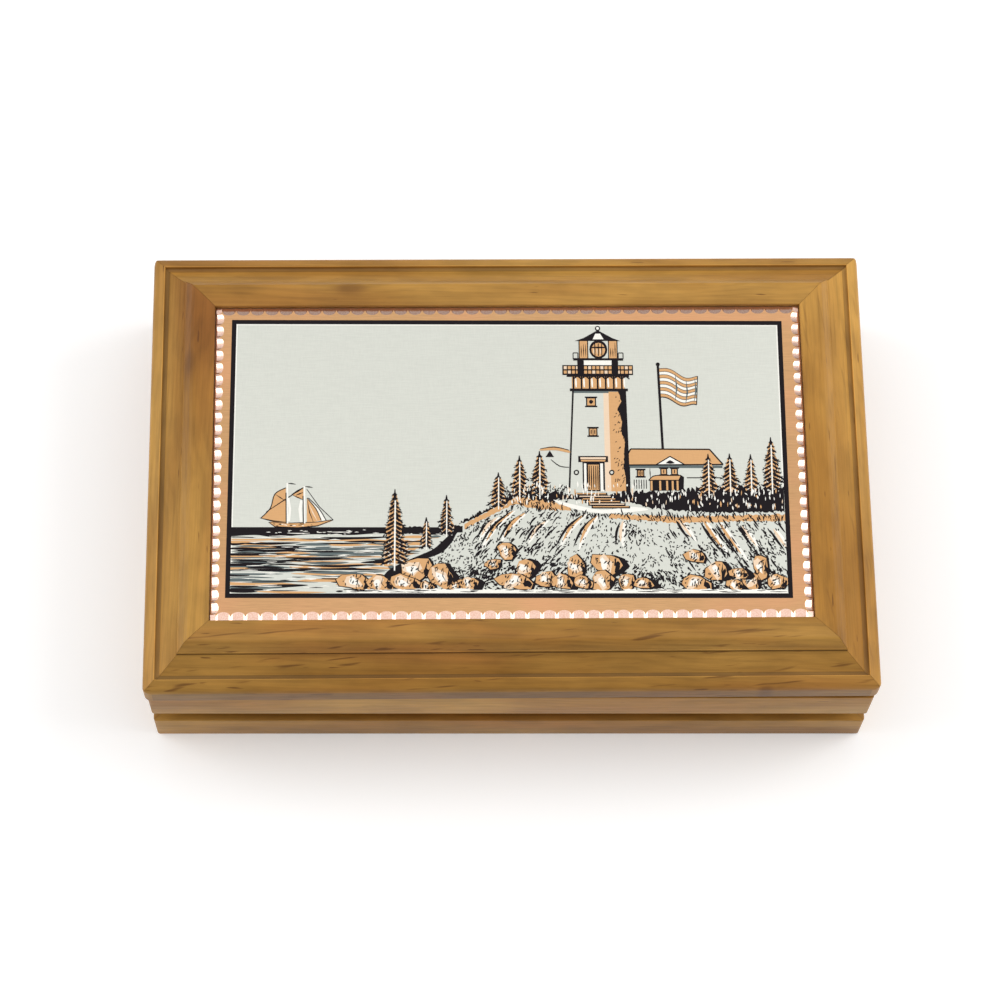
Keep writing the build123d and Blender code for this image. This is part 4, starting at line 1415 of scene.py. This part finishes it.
# %% [markdown]
# Hinges are plated brass, rubbed a little brighter and duller in patches. Pins, brads, corner
# nails and glazing points are bright steel. The boards behind the picture and under the lining
# are hardboard: brown, matt, and full of pressed fibre.

# %% Metal fittings and boards


def plated(name, colour, rough):
    """Plated metal with handling marks and fine scratches."""
    material, tree, shader = start_finish(name)
    smudge = noise(tree, stretched(tree, (160, 160, 160)), 2, 0.5)
    scratch = noise(tree, stretched(tree, (700, 9000, 9000)), 1, 0.5)
    rubbed = blend_colours(tree, between(tree, smudge, 0.35, 0.7), colour, shade_of(colour, 0.80))
    put(tree, shader, {"Base Color": rubbed, "Metallic": 1.0,
                       "Roughness": between(tree, smudge, 0.3, 0.7, rough, rough + 0.07)})
    bump(tree, shader, scratch, 0.00001, 0.3)
    return material


def hardboard():
    """Brown pressed board with fibres lying every way."""
    material, tree, shader = start_finish("hardboard")
    fibre = noise(tree, stretched(tree, (900, 2600, 2600)), 4, 0.7, 1.5)
    cloud = noise(tree, stretched(tree, (70, 70, 70)), 3, 0.6)
    colour = blend_colours(tree, between(tree, fibre, 0.35, 0.7),
                           (0.20, 0.105, 0.048, 1), (0.11, 0.052, 0.022, 1))
    colour = blend_colours(tree, between(tree, cloud, 0.4, 0.7, 0, 0.4),
                           colour, (0.26, 0.15, 0.075, 1))
    put(tree, shader, {"Base Color": colour, "Roughness": 0.78, "Specular IOR Level": 0.3})
    bump(tree, shader, fibre, 0.00005, 0.5)
    return material


def dress(material, *nodes):
    """Gives CAD nodes that keep their own mesh a finish."""
    for node in nodes:
        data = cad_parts[node].data
        data.materials.clear()
        data.materials.append(material)


hinge_brass = plated("hinge_brass", (0.80, 0.58, 0.27, 1), 0.30)
dress(hinge_brass, "hinge_left_body_leaf", "hinge_right_body_leaf",
      "hinge_left_lid_leaf", "hinge_right_lid_leaf")
screw_brass = plated("screw_brass", (0.70, 0.48, 0.21, 1), 0.22)
dress(screw_brass, "body_hinge_screws", "lid_hinge_screws")
dress(plated("bright_steel", (0.62, 0.62, 0.64, 1), 0.22), "hinge_left_pin", "hinge_right_pin",
      "carcass_brads", "lid_corner_vnails", "backing_points")
dress(hardboard(), "bottom_panel", "backing_board")
# The carcass wood is darkened as painted shade, so the recess under the band and the inside walls look
# shaded.
for index, (name, _, axis, _) in enumerate(side_places(body_half)):
    node = "carcass_" + name
    dress(wood(node + "_wood", axis, 51 + index, light=0.76), node)
print("dressed:", [m.name for m in (hinge_brass, screw_brass)], "steel, hardboard and carcass wood")

# %% [markdown]
# Each hinge screw has a low raised head with a cross recess. The heads start as short cones, half
# sunk in the leaf, and two Boolean cuts make the recess: one slot, then the other across it.
# Nobody lines up the slots of a hinge's screws, so each head is turned its own way.

# %% Screw heads
SCREW_APART = 8.2 * MM
HEAD_R = 1.5 * MM
HEAD_PROUD = 0.22 * MM
SLOT_L, SLOT_W = 1.7 * MM, 0.34 * MM


def at_screws(facing, face_z, screw_y, shape):
    """A bmesh with one shape on the head of every screw of one body."""
    bm = bmesh.new()
    rng = random.Random(77)
    for side in ("left", "right"):
        leaf_low, leaf_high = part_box("hinge_" + side + "_body_leaf")
        for step in (-1, 0, 1):
            screw_x = (leaf_low.x + leaf_high.x) / 2 + step * SCREW_APART
            place = (Matrix.Translation((screw_x, screw_y, face_z))
                     @ Matrix.Diagonal((1, facing, facing, 1))
                     @ Matrix.Rotation(rng.uniform(0, math.pi), 4, "Z"))
            shape(bm, place)
    return bm


def head_shape(bm, place):
    """A low head that narrows upwards."""
    bmesh.ops.create_cone(bm, cap_ends=True, segments=32, radius1=HEAD_R, radius2=0.72 * HEAD_R,
                          depth=2 * HEAD_PROUD, matrix=place)


def slot_shape(turn):
    """A function that makes one bar of the cross recess."""
    def bar(bm, place):
        bmesh.ops.create_cube(bm, size=1.0, matrix=place @ Matrix.Rotation(turn, 4, "Z")
                              @ Matrix.Translation((0, 0, HEAD_PROUD))
                              @ Matrix.Diagonal((SLOT_L, SLOT_W, 1.5 * HEAD_PROUD, 1)))
    return bar


for body, facing in (("body", 1), ("lid", -1)):
    low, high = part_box(body + "_hinge_screws")
    where = (facing, high.z if facing > 0 else low.z, (low.y + high.y) / 2)
    heads = finish_piece(at_screws(*where, head_shape), "screw_heads_" + body, screw_brass, body,
                         sharp=math.radians(20))
    for turn in (0, math.pi / 2):
        carve(heads, at_screws(*where, slot_shape(turn)))
    print(heads.name, len(heads.data.polygons), "faces")

# %% [markdown]
# The box is lined with short-pile velvet on card, one pad on its floor and one in its lid. Pile
# lies in brushed patches that catch the light differently, and the shader's sheen gives its rim
# of light. Each pad starts as a fine grid whose points are lowered towards the edges, so the
# cloth rolls over, and the grid's border is then extruded down to the card.

# %% Velvet pads


def velvet():
    """Wine red velvet with brushed patches."""
    material, tree, shader = start_finish("wine_velvet")
    patch = noise(tree, stretched(tree, (38, 60, 60)), 3, 0.6, 0.8)
    pile = noise(tree, stretched(tree, (3800, 3800, 3800)), 2, 0.6)
    colour = blend_colours(tree, between(tree, patch, 0.3, 0.7),
                           (0.155, 0.012, 0.028, 1), (0.085, 0.006, 0.016, 1))
    flecks = blend_colours(tree, between(tree, pile, 0.35, 0.7, 0, 0.5),
                           colour, (0.24, 0.03, 0.05, 1))
    put(tree, shader, {"Base Color": flecks, "Roughness": 0.92, "Specular IOR Level": 0.15,
                       "Sheen Weight": 0.7, "Sheen Roughness": 0.35, "Sheen Tint": (0.95, 0.55, 0.60, 1)})
    bump(tree, shader, pile, 0.00012, 0.7)
    return material


velvet_finish = velvet()
ROLL = 2.6 * MM
WAVES = 6


def velvet_pad(name, node, body, face_up, place=None):
    """A thin pad in the space of a lining node, rolled over at its edges."""
    low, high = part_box(node) if place is None else lid_box(node)
    half_x, half_y, thick = (high.x - low.x) / 2, (high.y - low.y) / 2, high.z - low.z
    rng = random.Random(node)
    waves = [(rng.uniform(60, 220), rng.uniform(0, math.pi), rng.uniform(0, math.tau))
             for _ in range(WAVES)]
    bm = bmesh.new()
    bmesh.ops.create_grid(bm, x_segments=120, y_segments=72, size=1.0)
    for vert in bm.verts:
        x, y = vert.co.x * half_x, vert.co.y * half_y
        inside = min(half_x - abs(x), half_y - abs(y))
        edge = max(0.0, 1 - inside / ROLL)
        soft = sum(math.sin(k * (x * math.cos(a) + y * math.sin(a)) + p)
                   for k, a, p in waves) / WAVES
        drop = thick * (0.62 * edge ** 2.4 + 0.05 * (1 + soft) * (1 - edge))
        vert.co = (x, y, thick - drop)
    rim = bmesh.ops.extrude_edge_only(bm, edges=[e for e in bm.edges if e.is_boundary])
    for vert in (g for g in rim["geom"] if isinstance(g, bmesh.types.BMVert)):
        vert.co.z = 0
    bmesh.ops.edgeloop_fill(bm, edges=[e for e in bm.edges if e.is_boundary])
    if not face_up:
        bm.transform(Matrix.Translation((0, 0, thick)) @ Matrix.Rotation(math.pi, 4, "X"))
    bmesh.ops.recalc_face_normals(bm, faces=bm.faces[:])
    middle = (low + high) / 2
    bm.transform((place or Matrix()) @ Matrix.Translation((middle.x, middle.y, low.z)))
    piece = finish_piece(bm, name, velvet_finish, body, [node], sharp=math.radians(60))
    print(name, "mm:", [round(c / MM, 1) for c in high - low])


velvet_pad("velvet_floor", "floor_lining", "body", True)
velvet_pad("velvet_lid", "lid_lining", "lid", False, lid_place)

# %% [markdown]
# A sheet of pressed felt keeps the underside from scratching a table. It is cut with a knife, so
# its edge wanders by a hair, and its surface is short matted fibre.

# %% Felt underneath


def pressed_felt():
    """Dark brown matted fibre."""
    material, tree, shader = start_finish("pressed_felt")
    mat = noise(tree, stretched(tree, (1400, 1400, 1400)), 5, 0.75, 2.0)
    cloud = noise(tree, stretched(tree, (90, 90, 90)), 2, 0.5)
    colour = blend_colours(tree, between(tree, mat, 0.35, 0.68),
                           (0.045, 0.026, 0.016, 1), (0.125, 0.082, 0.056, 1))
    colour = blend_colours(tree, between(tree, cloud, 0.4, 0.7, 0, 0.3),
                           colour, (0.03, 0.018, 0.012, 1))
    put(tree, shader, {"Base Color": colour, "Roughness": 0.95, "Specular IOR Level": 0.1,
                       "Sheen Weight": 0.4, "Sheen Roughness": 0.5})
    bump(tree, shader, mat, 0.00015, 0.8)
    return material


felt_low, felt_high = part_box("underside_felt")
felt_half = (felt_high - felt_low) / 2
KNIFE_WANDER = 0.15 * MM
ALMOST_ONE = 0.999
rng = random.Random(77)
bm = bmesh.new()
bmesh.ops.create_grid(bm, x_segments=60, y_segments=38, size=1.0)
for vert in bm.verts:
    wander = rng.uniform(0.0, KNIFE_WANDER)
    at_edge = max(abs(vert.co.x), abs(vert.co.y)) > ALMOST_ONE
    shrink = 1 - (wander / felt_half.y if at_edge else 0)
    vert.co = (vert.co.x * felt_half.x * shrink, vert.co.y * felt_half.y * shrink, felt_low.z)
lifted = bmesh.ops.extrude_face_region(bm, geom=bm.faces[:], use_keep_orig=True)
tops = [g for g in lifted["geom"] if isinstance(g, bmesh.types.BMVert)]
bmesh.ops.translate(bm, verts=tops, vec=(0, 0, felt_high.z - felt_low.z))
bmesh.ops.recalc_face_normals(bm, faces=bm.faces[:])
felt = finish_piece(bm, "felt_base", pressed_felt(), "body", ["underside_felt"])
print("felt mm:", [round(2 * c / MM, 1) for c in felt_half])

# %% [markdown]
# The box stands on a wide sheet of pale paper. A floor is staging and not a piece of the box.
# A little light of its own keeps the paper near white where the studio lights fall off, and
# leaves the soft shadow beside the box.

# %% Floor
FLOOR_HALF = 4.0
bm = bmesh.new()
bmesh.ops.create_grid(bm, x_segments=1, y_segments=1, size=FLOOR_HALF)
mesh = bpy.data.meshes.new("floor")
bm.to_mesh(mesh)
bm.free()
floor = bpy.data.objects.new("floor", mesh)
bpy.context.scene.collection.objects.link(floor)
material, tree, shader = start_finish("floor_paper")
put(tree, shader, {"Base Color": (0.94, 0.94, 0.94, 1), "Roughness": 0.7,
                   "Emission Color": (1, 1, 1, 1), "Emission Strength": 0.16})
mesh.materials.append(material)
print("floor:", 2 * FLOOR_HALF, "m square")
